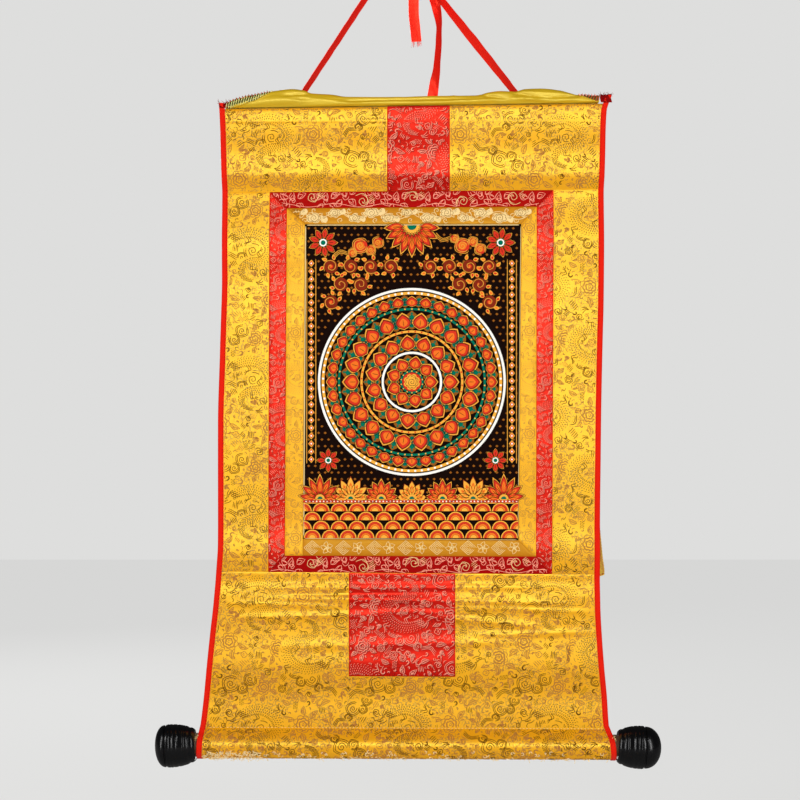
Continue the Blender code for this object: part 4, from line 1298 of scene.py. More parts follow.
def cloudRun(length, tall):
    # bold cream clouds with fine lines on them
    blobs, lines = [], []
    x, k = 8.0, 0
    while x < length - 6:
        way = (-1) ** k
        high = 0.16 * tall * way
        at = x + 1j * high
        size = tall * (0.36 + 0.05 * math.sin(1.9 * k))
        body = scallop(size, 5, 0.28, 0.7 * k)
        body = body.real * 1.25 + 1j * body.imag * 0.8
        tail = [0.9 + 0.3j, 1.7 + 0.75j, 2.05 + 0.2j, 1.75 - 0.25j, 1.2 - 0.35j, 0.7 - 0.3j, 0.9 + 0.3j]
        blobs.append(at + body[:-1])
        blobs.append(at + size * through([p.real + 1j * p.imag * way for p in tail], 0.2)[:-1])
        lines += [at + coil(size * 0.62, 1.9, k), at + 0.82 * body]
        lines += turned(hatch(size * 0.5, 3, 1.2), x + 1.15 * size, high + 0.05 * size, 25 * way)
        x += tall * 1.12 + 2.2 * math.sin(1.3 * k)
        k += 1
    return blobs, lines


def stemRun(length, tall):
    # a waving cream stem with curls and leaves, which joins the clouds
    along = np.arange(0, length, 1.2)
    lines = [along + 1j * 0.24 * tall * np.sin(along / 6.2)]
    for k, x in enumerate(np.arange(9.0, length - 4, 0.53 * tall)):
        high = (-1) ** k * 0.3 * tall
        lines.append(x + 1j * high + coil(0.17 * tall, 1.3, 1.7 * k))
        lines += turned(leaf(0.42 * tall, 0.2 * tall, 1)[:2], x + 0.2 * tall, -0.5 * high, 40 * (-1) ** k)
    return lines


def fretRun(length, tall):
    # square lozenge frets and small petals, as cream lines
    lines = []
    x, k = 9.0, 0
    while x < length - 5:
        if k % 2 == 0:
            for reach in (0.44, 0.33, 0.22, 0.11):
                ring = np.array([1, 1j, -1, -1j, 0.72 - 0.28j]) * reach * tall
                lines.append(even(x + ring.real * 1.15 + 1j * ring.imag, 1.0))
        else:
            for angle in (0, 72, 144, 216, 288):
                lines += turned(leaf(0.4 * tall, 0.26 * tall, 1)[:2], x, 0, angle + 20 * k)
            lines.append(x + coil(0.14 * tall, 1.2))
        x += tall * (1.02 if k % 2 else 0.9)
        k += 1
    return lines


strips = {
    # outer and inner corners, slot, whether butted at the lower left, and the grounds of the
    # strips that are cut across the weave and along it; the one across is a darker copy of the same cloth,
    # painted shade for its weaker sheen
    "redFrame": ("redOuter", "goldOuter", "red_brocade", False, "redDeep", "red"),
    "goldFrame": ("goldOuter", "picture", "gold_brocade", True, "goldDeep", "yellowPlain"),
    "sewnTo": {
        "redFrameTop": ["top_panel"], "redFrameBottom": ["red_frame_left", "red_frame_right"],
        "redFrameLeft": ["side_strip_left"], "redFrameRight": ["side_strip_right"],
        "goldFrameTop": ["red_frame_top"], "goldFrameBottom": ["gold_frame_left", "gold_frame_right"],
        "goldFrameLeft": ["red_frame_left"], "goldFrameRight": ["red_frame_right"],
    },
}


def frameThreads(name, corners):
    # the drawn threads of one frame strip, by its kind
    inside = inQuad(corners, 0.45)
    (west, *_, east), (low, *_, high) = (sorted(corner[k] for corner in corners) for k in (0, 1))
    tall, long = high - low - 1.0, east - west
    middle = west + 1j * (low + high) / 2
    box = (west, east, low, high)
    if name in ("redFrameLeft", "redFrameRight"):
        # the dark red copies beside the pink threads are painted shadow
        return [brocadeOn(name, box, inside, west - 20 + 1j * high, ("redLine", "redLine"),
                          width=0.6, scale=0.8, shadowInk="darkRedLine")]
    if name in ("goldFrameLeft", "goldFrameRight"):
        return [brocadeOn(name, box, inside, west - 60 + 1j * high, ("tanLine", "tanLine"),
                          width=0.55, scale=0.8)]
    if name == "goldFrameBottom":
        lines = cutTo(inside, fretRun(long, tall), middle, 0.9)
        return [drawLines(name + "Frets", lines, 0.85, onCloth, finishes["creamLine"])]
    if name == "goldFrameTop":
        blobs, lines = cloudRun(long, tall)
        blobs = [blob + middle for blob in blobs]
        blobs = [squeezed(blob, corners) for blob in blobs if inside(blob.real, blob.imag).mean() > 0.5]
        lines, stems = [cutTo(inside, run, middle) for run in (lines, stemRun(long, tall))]
        return [drawShapes(name + "Clouds", blobs, onCloth, finishes["creamLine"], 0.34),
                drawLines(name + "Lines", lines, 0.6, onCloth, finishes["oliveFine"], 0.44),
                drawLines(name + "Stems", stems, 1.15, onCloth, finishes["creamLine"])]
    return [drawLines(name + finish, cutTo(inside, lines, middle), 0.8, onCloth, finishes[finish])
            for lines, finish in zip(lotusRun(long, tall), ("redLine", "creamLine"))]


def makeFrames():
    for frameName, node in (("redFrame", "red_frame"), ("goldFrame", "gold_frame")):
        outer, inner, slot, butted, across, alongWeave = strips[frameName]
        for side in ("Top", "Bottom", "Left", "Right"):
            name = frameName + side
            corners = frameCorners(scroll[outer], scroll[inner], side, butted)
            # the top and bottom strips get the darker copy of the ground: painted shade for their weaker
            # sheen
            ground = finishes[across if side in ("Top", "Bottom") else alongWeave]
            strip = quadSheet(name, corners, ground, 3.4)
            carry(strip, slot, node + "_" + side.lower())
            threads = joined(name + "Brocade", frameThreads(name, corners))
            carry(threads, slot)


def squeezed(blob, corners):
    # a shape's points moved inside a strip's long edges
    low = np.interp(blob.real, [corners[3][0], corners[2][0]], [corners[3][1], corners[2][1]]) + 0.5
    high = np.interp(blob.real, [corners[0][0], corners[1][0]], [corners[0][1], corners[1][1]]) - 0.5
    return blob.real + 1j * np.clip(blob.imag, low, high)


makeFrames()
print("stage: frames")


# Picture: a round lotus in rings, with scrolls, rosettes and waves, printed on dark cloth.
picture = {
    "middle": 12 - 418.0j,
    # inner and outer radius, and print
    "rings": [(88.6, 91.4, "printWhite"), (84.6, 87.8, "printGold"), (69.4, 72, "printTeal"),
              (47.6, 50.2, "printGold"), (27, 29.6, "printWhite"), (9.4, 11.6, "printTeal")],
    # foot radius, length and count of each round of petals
    "petals": [(72.4, 12, 36), (50.6, 18.6, 22), (30, 17.4, 15), (11.8, 15, 9)],
    # radius, size, count and print of each round of pearls
    "pearls": [(86.2, 1.15, 84, "printWhite"), (70.7, 0.8, 66, "printGold"), (48.9, 0.85, 48, "printRed"),
               (10.5, 0.7, 14, "printGold"), (66.4, 1.2, 22, "printTeal"), (45, 1.1, 15, "printTeal")],
    "nested": [(1, "printGold"), (0.86, "printBrown"), (0.72, "printRed"), (0.48, "printOrange")],
    "golden": [(1, "printBrown"), (0.86, "printGold"), (0.5, "printOrange"), (0.28, "printGold")],
    "crest": 12 - 266.2j,
    # place, size and petals of the rosettes
    "rosettes": [(-74 - 283j, 15, 9), (98 - 283j, 15, 9), (-69 - 494j, 12, 8), (93 - 494j, 12, 8)],
    "clouds": [(-38 - 286j, 10, 7.2, False), (61 - 286j, -10, 7.2, True)],
    "scroll": {"size": 7.4, "apart": 19.2, "first": -66.5 - 306j},
    "lotus": {"count": 7, "apart": 29.7, "level": -531.5, "long": 15.6, "longer": 2.3, "wide": 7.8},
    "diaper": 6.4,
    "foot": (-93.3, 115.3),
    "waves": 12,
    "waveRows": 4,
    "level": 0.33,  # the lowest print's height above the middle of the cloth
    "step": 0.035,  # from one print to the one on it
}
for ink, colour, deep in (
        ("printGold", (246, 176, 66), (216, 132, 30)), ("printOrange", (238, 118, 38), (208, 86, 20)),
        ("printBrown", (132, 42, 22), (100, 28, 14)), ("printRed", (214, 54, 34), (176, 34, 22)),
        ("printTeal", (4, 110, 84), (0, 80, 64)), ("printWhite", (248, 244, 236), (230, 218, 200)),
        ("printDim", (150, 88, 26), (112, 60, 16)), ("printInk", (30, 8, 4), (20, 6, 3))):
    finishes[ink] = clothFinish(ink, colour, deep, gleam["print"], 1.3, gloss=0.5)


def petal(foot, length, width):
    t = np.linspace(0, 1, 7)
    half = 0.5j * width * np.sin(math.pi * t ** 0.8) ** 0.8
    return foot + length * t + half, foot + length * t - half


def disc(centre, radius, count=8):
    return centre + radius * np.exp(2j * math.pi * np.arange(count) / count)


printed = {"bands": {}, "shapes": {}, "ink": [], "gold": []}  # what the print is made of


def addBand(level, colour, band, spin=1, at=picture["middle"]):
    printed["bands"].setdefault((level, colour), []).append((at + band[0] * spin, at + band[1] * spin))


def addShape(level, colour, *outlines):
    printed["shapes"].setdefault((level, colour), []).extend(outlines)


def addPetal(level, at, spin, foot, length, width, nested, outline=True):
    # a petal of smaller ones, each a level higher
    for k, (size, colour) in enumerate(nested):
        start = foot + length * 0.5 * (1 - size) * 0.7
        addBand(level + k, colour, petal(start, length * size, width * size), spin, at)
    if outline:
        left, right = petal(foot, length, width)
        rib = np.array([foot + 0.2 * length, foot + 0.55 * length])
        printed["ink"] += [even(at + spin * line, 1.1) for line in (np.concatenate([left, right[::-1]]), rib)]


def halfDisc(at, radius, count, way=1):
    return at + radius * np.exp(1j * way * math.pi * np.linspace(0, 1, count))


def printRings():
    # the round lotus: rings, rounds of petals, pearls and the heart
    c = picture["middle"]
    around = np.exp(2j * math.pi * np.linspace(0, 1, 91))
    for inner, outer, colour in picture["rings"]:
        addBand(5, colour, (inner * around, outer * around))
        printed["ink"] += [even(c + reach * around, 1.3) for reach in (inner, outer)]
    for foot, length, count in picture["petals"]:
        width = 2 * math.pi * (foot + 0.6 * length) / count
        for k in range(count):
            between, spin = [np.exp(2j * math.pi * (k + half) / count) for half in (0.5, 0)]
            addPetal(0, c, between, foot, length, width * 0.9, [(1.0, "printDim"), (0.7, "printTeal")], False)
            addPetal(1, c, spin, foot, length * 0.94, width * 0.96, picture["nested"])
    for far, size, count, colour in picture["pearls"]:
        addShape(7, colour, *[disc(c + far * np.exp(2j * math.pi * (k + 0.5) / count), size)
                              for k in range(count)])
    addShape(4, "printRed", disc(c, 9.2, 24))
    addShape(5, "printGold", c + scallop(8.0, 8, 0.22)[:-1])
    printed["ink"] += [c + line for line in (coil(4.6, 2.2), scallop(6.4, 8, 0.2))]


def printUpper():
    # a half lotus at the top edge, rosettes in the corners and a cloud on each side
    crest = picture["crest"]
    for k in range(-4, 5):
        spin = np.exp(1j * math.radians(-90 + 21.0 * k))
        addPetal(1, crest, spin, 7.0, 25.0 - abs(k), 9.4, picture["nested"])
    addShape(5, "printGold", halfDisc(crest, 8.0, 15, -1))
    addShape(6, "printTeal", halfDisc(crest, 4.6, 11, -1))
    for at, size, count in picture["rosettes"]:
        width = 2 * math.pi * size * 0.62 / count
        for k in range(count):
            spin = np.exp(2j * math.pi * k / count)
            addPetal(1, at, spin, size * 0.24, size * 0.76, width, picture["nested"][:3])
        addShape(6, "printWhite", disc(at, size * 0.25, 12))
        addShape(7, "printTeal", disc(at, size * 0.16, 10))
    for at, turn, size, flip in picture["clouds"]:
        printed["gold"] += turned(cloud(size), at.real, at.imag, turn, 1.0, flip)
        lobes = np.array([0, 1.3 - 0.8j, 2.45, -1.2 - 0.75j]) * size
        lobes = turned([lobes], at.real, at.imag, turn, 1.0, flip)[0]
        for lobe, reach in zip(lobes, (1.0, 0.64, 0.74, 0.55)):
            addShape(1, "printRed", disc(lobe, 0.96 * reach * size, 16))
            addShape(2, "printOrange", disc(lobe, 0.56 * reach * size, 12))


def printStems():
    # curling stems with leaves wherever the ground is free
    c, crest = picture["middle"], picture["crest"]
    size, apart = picture["scroll"]["size"], picture["scroll"]["apart"]
    for i, j in np.ndindex(9, 12):
        at = picture["scroll"]["first"] + apart * i - 1j * apart * 0.9 * j + 0.5 * apart * (j % 2)
        near = [abs(at - spot) - reach for spot, reach, _ in picture["rosettes"]]
        if at.real > 93 or at.imag < -500 or abs(at - c) < 101 or abs(at - crest) < 40 or min(near) < 8:
            continue
        handed = (-1) ** (i + j)
        curl = coil(size, 1.6, 0.9 * i + j, 0.2)
        printed["gold"].append(at + (curl if handed > 0 else np.conj(curl)))
        for k in range(6):
            spin = np.exp(1j * (math.pi * k / 3 + 0.6 * j))
            nested = [(1.0, "printGold"), (0.62, "printRed" if k % 2 else "printOrange")]
            addPetal(1, at + 0.96 * size * spin, spin * np.exp(0.8j * handed), 0.0, 5.6, 3.6, nested, False)
        addShape(1, "printBrown", disc(at, 0.9 * size, 14))
        addShape(4, "printRed", disc(at, 0.3 * size, 10))
        addShape(5, "printOrange", disc(at, 0.16 * size, 8))


def printSides():
    # columns of lozenges down both sides
    lozenge = np.array([3.0, 3.5j, -3.0, -3.5j])
    nested = ((1, 1.0, "printGold"), (2, 0.68, "printRed"), (3, 0.34, "printWhite"))
    for x in (-85.5, 109.0):
        for k in range(26):
            at = x - 1j * (303 + 7.6 * k)
            for level, reach, colour in nested:
                addShape(level, colour, at + reach * lozenge)
        printed["gold"] += [even(np.array([x + edge - 299j, x + edge - 497j]), 1.4) for edge in (-4.4, 4.4)]


def printFoot():
    # rows of waves along the foot, a beaded band and half lotuses on it
    west, east = picture["foot"]
    reach = (east - west) / (2 * picture["waves"])
    for row in range(picture["waveRows"]):
        for k in range(picture["waves"] + row % 2):
            at = west + reach * (1 - row % 2) + 2 * reach * k - 1j * (569.4 - reach * row)
            first = 0.5 if at.real > east - 1 else 0.0
            last = 0.5 if at.real < west + 1 else 1.0
            arc = np.exp(1j * math.pi * (1 - np.linspace(1 - last, 1 - first, 13)))
            for inner, outer, colour in ((0.82, 0.98, "printGold"), (0.6, 0.8, "printRed"),
                                         (0.38, 0.58, "printOrange"), (0.0, 0.36, "printGold")):
                addBand(1, colour, (reach * inner * arc, reach * outer * arc), 1, at)
            printed["ink"].append(even(at + reach * 0.98 * arc, 1.2))
    lotus = picture["lotus"]
    level = lotus["level"]
    across = np.linspace(west, east, 60)
    for top, foot, colour in ((-0.2, -1.0, "printGold"), (-1.2, -3.4, "printRed"), (-3.6, -4.4, "printGold")):
        addBand(3, colour, (across + 1j * (level + foot), across + 1j * (level + top)), 1, 0)
    addShape(5, "printWhite", *[disc(x + 1j * (level - 2.3), 0.75) for x in np.arange(-90.5, 115.0, 3.4)])
    for k in range(lotus["count"]):
        aside = k - lotus["count"] // 2
        at = picture["middle"].real + lotus["apart"] * aside + 1j * level
        for order, petalAt in enumerate((-3, 3, -2, 2, -1, 1, 0)):
            spin = np.exp(1j * math.radians(90 + 27.0 * petalAt))
            long = lotus["long"] + lotus["longer"] * abs(aside) - 1.1 * abs(petalAt)
            nested = picture["golden" if k % 2 else "nested"]
            addPetal(1 + order // 2, at, spin, 2.6, long, lotus["wide"], nested)
        addShape(8, "printGold", halfDisc(at, 4.6, 11))
        addShape(9, "printTeal", halfDisc(at, 2.6, 9))


def printStars():
    # small stars all over the ground
    step = picture["diaper"]
    star = np.array([1.5, 1.3j, -1.5, -1.3j])
    for i, j in np.ndindex(33, 44):
        at = -88.0 + step * i + 0.5 * step * (j % 2) - 1j * (269 + step * j)
        if at.real < 114 and abs(at - picture["middle"]) > 94 and at.imag > -528:
            addShape(0, "printDim", at + star)


def makePicture():
    signs = ((1, -1), (-1, -1), (-1, 1), (1, 1))
    corners = [(x + 0.15 * sx, z + 0.15 * sz) for (x, z), (sx, sz) in zip(scroll["picture"], signs)]
    panel = quadSheet("picturePanel", corners, finishes["print"], 3.2, roll=0.22)
    carry(panel, "print_cloth", "picture_panel")
    for draw in (printRings, printUpper, printStems, printSides, printFoot, printStars):
        draw()
    made = []
    for (level, colour), found in printed["bands"].items():
        lift = picture["level"] + picture["step"] * level
        made.append(drawBands("print" + colour + str(level), found, onCloth, finishes[colour], lift))
    for (level, colour), found in printed["shapes"].items():
        lift = picture["level"] + picture["step"] * level
        made.append(drawShapes("dots" + colour + str(level), found, onCloth, finishes[colour], lift, 0.05))
    top = picture["level"] + picture["step"] * 7
    made.append(drawLines("printOutlines", printed["ink"], 0.42, onCloth, finishes["printInk"], top, 0.2))
    made.append(drawLines("printScrolls", printed["gold"], 0.75, onCloth, finishes["printGold"],
                          top - 0.04, 0.2))
    # a pale edge all round, wider at the top and the left
    for a, b, wide, inset in ((0, 1, 1.3, -0.7j), (0, 3, 1.3, 0.7), (1, 2, 0.6, -0.4), (3, 2, 0.6, 0.4j)):
        edge = even(np.array([complex(*corners[a]), complex(*corners[b])]) + inset, 2.0)
        made.append(drawLines("printEdge", [edge[1:-1]], wide, onCloth, finishes["creamLine"], 0.32, 0.2))
    motifs = joined("picturePrint", made)
    carry(motifs, "print_cloth")


makePicture()
print("stage: picture")


# Bindings: red tape folded over each long edge and on round the roller.
binding = {
    "thickness": 0.36,
    # the tape's top, node, tuft of white thread, loose threads at its open foot, and cap
    "left": {"top": -147.4, "node": "binding_left", "tuft": (-198.4, -783.4), "open": (-194.6, -766, -757),
             "cap": (-174.6, -166.9, -152.2, -147.6)},
    "right": {"top": -139.7, "node": "binding_right", "tuft": (211.4, -782.4), "open": (206.2, -770, -757),
              "cap": (194.8, 205.6, -147, -138.4)},
    # across the tape: how far in from the edge, how far forward, and both round the roller
    "fold": [
        (5.4, -0.8, 1.9, -0.74), (4, -0.86, 1.6, -0.74), (2.2, -0.86, 1.2, -0.74),
        (0.9, -0.8, 0.8, -0.66), (0.34, -0.5, 0.4, -0.42), (0.18, 0, 0.18, 0),
        (0.34, 0.5, 0.34, 0.5), (0.9, 0.8, 0.9, 0.8), (2.2, 0.88, 2.2, 0.88),
        (4, 0.86, 4, 0.86), (5, 0.82, 5, 0.82), (5.45, 0.7, 5.45, 0.7),
    ],
    # from the edge, length and pitch
    "stitch": (4.5, 1.5, 2.9),
    "paleStitch": (6, 1, 2.9),
}


def edgePath(edge, top):
    # down one long edge and round the roller: x, y, z, the way the cloth faces, and how
    # far the tape has turned into its narrow fold
    levels = np.concatenate([np.arange(top, -682.0, -2.6), np.linspace(-684.0, -750.4, 25)])
    x = edge(levels)
    z = levels + x * seamSlope(levels)
    rows = np.stack([x, clothY(x, z), z, -np.ones(len(x)), np.zeros(len(x)), np.zeros(len(x))], axis=1)
    rounds = pocketPoints[1:-2]
    x = edge(rounds[:, 1])
    z = rounds[:, 1] + x * seamSlope(scroll["pocketSeam"])
    below = np.stack([x, rounds[:, 0], z, rounds[:, 2], rounds[:, 3], np.ones(len(x))], axis=1)
    return np.concatenate([rows, below])


def makeBindings():
    fold = np.array(binding["fold"])
    for name, edge, inward in (("left", leftEdge, 1), ("right", rightEdge, -1)):
        facts = binding[name]
        path = edgePath(edge, facts["top"])
        run = runAlong(path[:, :3])

        def along(distance, d, n, narrow=True):
            # a place by its distance down the tape, in from the edge and forward
            rows = [np.interp(distance, run, path[:, k]) for k in range(6)]
            if narrow:
                d, n = [fold[d, k] * (1 - rows[5]) + fold[d, k + 2] * rows[5] for k in (0, 1)]
            puff = 0.10 * np.sin(distance / 3.1 + d) * np.sin(distance / 11.0)
            n = n + np.sign(n) * puff * (np.abs(n) > 0.6)
            return np.stack([rows[0] + inward * d, rows[1] + rows[3] * n, rows[2] + rows[4] * n], axis=-1)

        def tapePlace(column, distance):
            return along(distance, column.astype(int), 0)

        def onTape(d, distance, lift):
            return along(distance, d, lift, False)

        tape = makeSheet(name + "Binding", np.arange(len(fold)), run[::-1], tapePlace, finishes["tape"],
                         thickness=binding["thickness"])
        outwards(tape)
        carry(tape, "red_tape", facts["node"])
        made = []
        for key, finish, lift in (("stitch", "darkRedLine", 1.03), ("paleStitch", "creamLine", 0.36)):
            far, length, pitch = binding[key]
            stitches = [np.array([far, far]) + 1j * (np.array([0.0, length]) + s)
                        for s in np.arange(4.0, run[-1] - 30.0, pitch)]
            made.append(drawLines(name + key, stitches, 0.5, onTape, finishes[finish], lift))
        made.append(makeCap(name, *facts["cap"]))
        chance = np.random.default_rng(21)
        x, z = facts["tuft"]
        tuft = [wisp(chance, (x + chance.uniform(-0.7, 0.7), -6.5 + chance.uniform(-0.6, 0.6), z),
                     (0.5 * inward, -0.2, 1.0), chance.uniform(2.5, 4.2), 0.12) for _ in range(9)]
        made.append(looseThreads(name + "Tuft", tuft, 0.6, finishes["whiteThread"]))
        x, foot, top = facts["open"]
        loose = []
        for _ in range(16):
            start = (x + chance.uniform(-1.0, 1.0), -7.0 + chance.uniform(-3, 3), chance.uniform(foot, top))
            heading = (-inward, -0.3, chance.uniform(-0.8, 0.8))
            loose.append(wisp(chance, start, heading, chance.uniform(2.0, 5.0), 0.4))
        made.append(looseThreads(name + "Loose", loose, 0.3, finishes["creamLine"]))
        extras = joined(name + "Stitches", made)
        carry(extras, "red_tape")


def makeCap(name, west, east, foot, top):
    # the tape's crumpled upper end, with its frayed threads
    def place(u, v):
        x = west + (east - west) * u + 0.5 * np.sin(5 * v + 2)
        z = foot + (top - foot) * v - 1.1 * np.abs(np.sin(3.1 * u + 0.4)) * v
        y = -1.5 - 0.7 * np.sin(9.0 * u + 3.0 * v) * (0.4 + v) - 0.3 * np.sin(17 * v + 4 * u) + 1.3 * v
        return np.stack([x, y, z], axis=-1)

    cap = makeSheet(name + "Cap", np.linspace(0, 1, 14), np.linspace(0, 1, 10), place,
                    finishes["tapeEnd"], 0.4)
    chance = np.random.default_rng(7 if name == "left" else 11)
    threads = []
    for _ in range(34):
        u = chance.uniform(0, 1)
        start = place(np.array([u]), np.array([chance.uniform(0.75, 1.0)]))[0]
        side = 2 * u - 1
        threads.append(wisp(chance, start, (side * 0.9, chance.uniform(-0.6, 0.3), 1.0),
                            chance.uniform(1.2, 3.6) if chance.random() < 0.85 else 5.5, 0.35))
    frays = looseThreads(name + "Frays", threads, 0.26, finishes["tapeEnd"])
    return joined(name + "CapAndFrays", [cap, frays])


makeBindings()
print("stage: bindings")


# Cover: thin satin sewn along the top edge, thrown over it and hanging behind.
cover = {
    "thickness": 0.5,
    "west": -169.2, "east": 193.5,
    "seamY": 0.9, "rise": 0.9, "front": -1, "behind": 7.6,
    "foot": -617, "footBow": 4, "sway": 0.9,
    # the lower right corner swings out to the right, and its tip curls up
    "corner": {"west": 120, "top": -540, "tall": 66, "reach": 6.2, "lift": 11,
               "tipFrom": 0.6, "tipTop": -590, "tipTall": 27},
    "foldedLying": (-262, -380, -498), "foldedUpright": (-50, 78),  # creases of its back
    "crease": (0.5, 1.3),  # their height and half width
    # x and height of the crest
    "crest": [
        (-172, -147.6), (-161.5, -144.2), (-150, -140.9), (-140, -138.8), (-128.5, -136.5),
        (-119, -134.9), (-104, -133.4), (-93, -134.8),
        (-85, -137.6), (-66, -138.8), (-50, -141.2), (-18, -141.6), (25, -140.2), (74, -139.6),
        (86, -136.8), (98, -135.3), (112, -135.9), (122, -133.4), (137, -132.9), (156, -134.8),
        (165, -137.2), (172, -138.9), (180, -139.3), (194, -139.8),
    ],
    # lying folds of the front: middle x and z, slope, half length, half width and height
    "folds": [
        (-144.5, -145.1, 0.375, 20, 1.1, 1), (-147, -142.6, 0.375, 18, 0.9, -0.7),
        (-118, -144, 0.02, 24, 4, 1.2), (-100, -139.6, 0.08, 15, 1.6, -1.3),
        (-96, -143.5, -0.05, 12, 1.2, -0.9), (-72, -144.6, -0.1, 22, 2, 1.1),
        (-46, -147.6, 0.045, 60, 1.3, 0.8), (-10, -144.4, 0.03, 44, 1.3, -1),
        (-30, -142.4, 0, 50, 1, 0.6), (34, -143.2, -0.01, 34, 1.6, -1.2),
        (70, -145.2, 0.03, 26, 1.2, 1), (92, -141.6, -0.16, 14, 1.5, -1.6),
        (124, -140, -0.14, 18, 1.1, -1.2), (132, -143.8, -0.05, 24, 1.4, 1.1),
        (140, -137.6, -0.05, 22, 1.2, 0.8), (157, -141.6, 0.1, 18, 1, -1.1),
        (156, -145.2, 0.1, 22, 1.2, 0.9), (184, -143.6, -0.32, 10, 1, 0.7),
        (176, -141.6, -0.2, 12, 0.9, -0.6),
    ],
    # upright pinches: middle x and z, lean, half length, half width and height
    "pinches": [
        (-97.9, -147.5, -0.25, 5.5, 1.2, 1.1), (-101.6, -146.5, -0.2, 5.5, 1.2, -0.6),
        (-94, -146.5, -0.3, 5.5, 1.4, -0.6), (52, -144, 0.1, 6, 2.6, 0.7),
        (58.7, -145.8, 0, 2.6, 1.1, 1.4), (109.5, -142.5, -0.3, 7, 1.3, 1),
        (114, -141.5, -0.3, 7, 1.3, -0.7), (105, -143.5, -0.3, 5, 1.2, -0.6),
    ],
    "spacing": 2.3,  # between its columns
    "frontRows": 30, "backRows": 52,
    "crowded": 1.15,  # how far the front's rows crowd towards the sewn edge
    "face": 0.3,  # from its middle to the thread on either face
    "serge": (1.5, 2.6),  # pitch and depth of the zigzag along its edges
    # the front's slanting edges: its points, and the threads across and beading above
    "slants": [([(-168.6, -152.2), (-163.6, -151.7), (-140.2, -145.3), (-129.6, -139.4), (-123.5, -136.7)],
                "sergePale", "serge"),
               ([(171.8, -139.6), (180, -142.3), (189.5, -146.1), (192.8, -144)], "serge", "redLine")],
}


def coverSection(x):
    # the cover's middle at x: y and z from its sewn edge over its crest and down behind
    base = topEdge(x) + cover["rise"]
    crest = max(float(smoothed(cover["crest"], x)) - 0.25, base + 2.0)
    tall = crest - base
    radius = min((cover["behind"] - cover["front"]) / 2, tall)
    shoulder, middle = crest - radius, cover["behind"] - radius
    bend = middle + 1j * shoulder + radius * np.exp(1j * np.linspace(math.pi, 0.0, 13))
    start = [cover["seamY"] + 1j * base, -0.6 - 0.1 * tall + 1j * (base + 0.45 * (tall - radius))]
    front = through(np.concatenate([start, bend]), 0.35)
    run = runAlong(front)
    at = np.linspace(0, 1, cover["frontRows"]) ** cover["crowded"] * run[-1]
    front = np.interp(at, run, front.real) + 1j * np.interp(at, run, front.imag)
    along = (x - cover["west"]) / (cover["east"] - cover["west"])
    foot = cover["foot"] + cover["footBow"] * math.sin(math.pi * along)
    down = np.linspace(0, 1, cover["backRows"] + 1)[1:]
    sway = cover["sway"] * (1 + math.sin(2.3 * math.pi * along + 1.0)) * np.minimum(1, 3 * down)
    hang = 0.7 * np.sin(x / 19.0 + 1.5 * down) * down
    hang = hang + 0.5 * np.sin(x / 8.3 - 2.0 * down) * (0.3 + down) * down
    back = cover["behind"] + sway + 0.6 + hang + 1j * (shoulder + (foot - shoulder) * down)
    return np.concatenate([front, back])


def coverGrid():
    # points and outward directions of the whole cover, by row and column
    columns = spaced(cover["west"], cover["east"], cover["spacing"], edges=False)
    sections = np.stack([coverSection(x) for x in columns], axis=1)
    x, z = np.broadcast_to(columns, sections.shape), sections.imag
    ahead = np.gradient(sections, axis=0)
    out = 1j * ahead / np.abs(ahead)
    rows = np.arange(len(sections))[:, None]
    fade = np.clip((cover["frontRows"] * 0.8 - rows) / 6.0, 0, 1) * np.clip(rows / 3.0, 0, 1)
    behind = rows > cover["frontRows"] + 2
    rise, halfWidth = cover["crease"]
    creases = sum(rise * np.exp(-((z - at) / halfWidth) ** 2) for at in cover["foldedLying"])
    upright = sum(rise * np.exp(-((x - at) / halfWidth) ** 2) for at in cover["foldedUpright"])
    creases = creases + upright * behind
    sections = sections + out * (foldsAt(x, z, cover["folds"], cover["pinches"]) * fade + creases * behind)
    corner = cover["corner"]
    share = np.clip((x - corner["west"]) / (cover["east"] - corner["west"]), 0, 1)
    low = np.clip((corner["top"] - z) / corner["tall"], 0, 1)
    outer = np.clip(share - corner["tipFrom"], 0, 1) / (1 - corner["tipFrom"])
    tip = outer * np.clip((corner["tipTop"] - z) / corner["tipTall"], 0, 1)
    x, z = x + corner["reach"] * share * low, sections.imag + corner["lift"] * tip
    return (np.stack([x, sections.real, z], axis=-1),
            np.stack([np.zeros(x.shape), out.real, out.imag], axis=-1))


coverPoints, coverOut = coverGrid()


def onCover(u, v, lift):
    # a place on the cover by its column and row, which may be fractions
    rows, columns = coverPoints.shape[:2]
    i = np.clip(v.astype(int), 0, rows - 2)
    j = np.clip(u.astype(int), 0, columns - 2)
    a, b = (v - i)[:, None], (u - j)[:, None]
    mixed = []
    for field in (coverPoints, coverOut):
        near = field[i, j] * (1 - b) + field[i, j + 1] * b
        far = field[i + 1, j] * (1 - b) + field[i + 1, j + 1] * b
        mixed.append(near * (1 - a) + far * a)
    return mixed[0] + np.reshape(lift * np.ones(len(u)), (-1, 1)) * mixed[1]


def onFace(u, v, lift):
    return onCover(u, v, cover["face"] + lift)


def onBack(u, v, lift):
    return onCover(u, v, -cover["face"] - lift)


def edgeSerging():
    # a zigzag of serging on both faces of both side edges and of the foot
    pitch, deep = cover["serge"]
    rows, columns = coverPoints.shape[:2]
    zigzags = []
    for column, way in ((0, 1), (columns - 1, -1)):
        run = runAlong(coverPoints[:, column])
        at = np.arange(2.0, run[-1] - 1.0, pitch / 2)
        u = column + way * np.where(np.arange(len(at)) % 2, deep / cover["spacing"], 0.05)
        zigzags.append(u + 1j * np.interp(at, run, np.arange(rows)))
    at = np.arange(1.0, columns - 2.0, 0.5)
    zigzags.append(at + 1j * (rows - 1 - np.where(np.arange(len(at)) % 2, 0.32, 0.02)))
    return [drawLines("coverSerge", [line], 0.5, place, finishes["serge"], 0.0, 0.5)
            for line in zigzags for place in (onFace, onBack)]


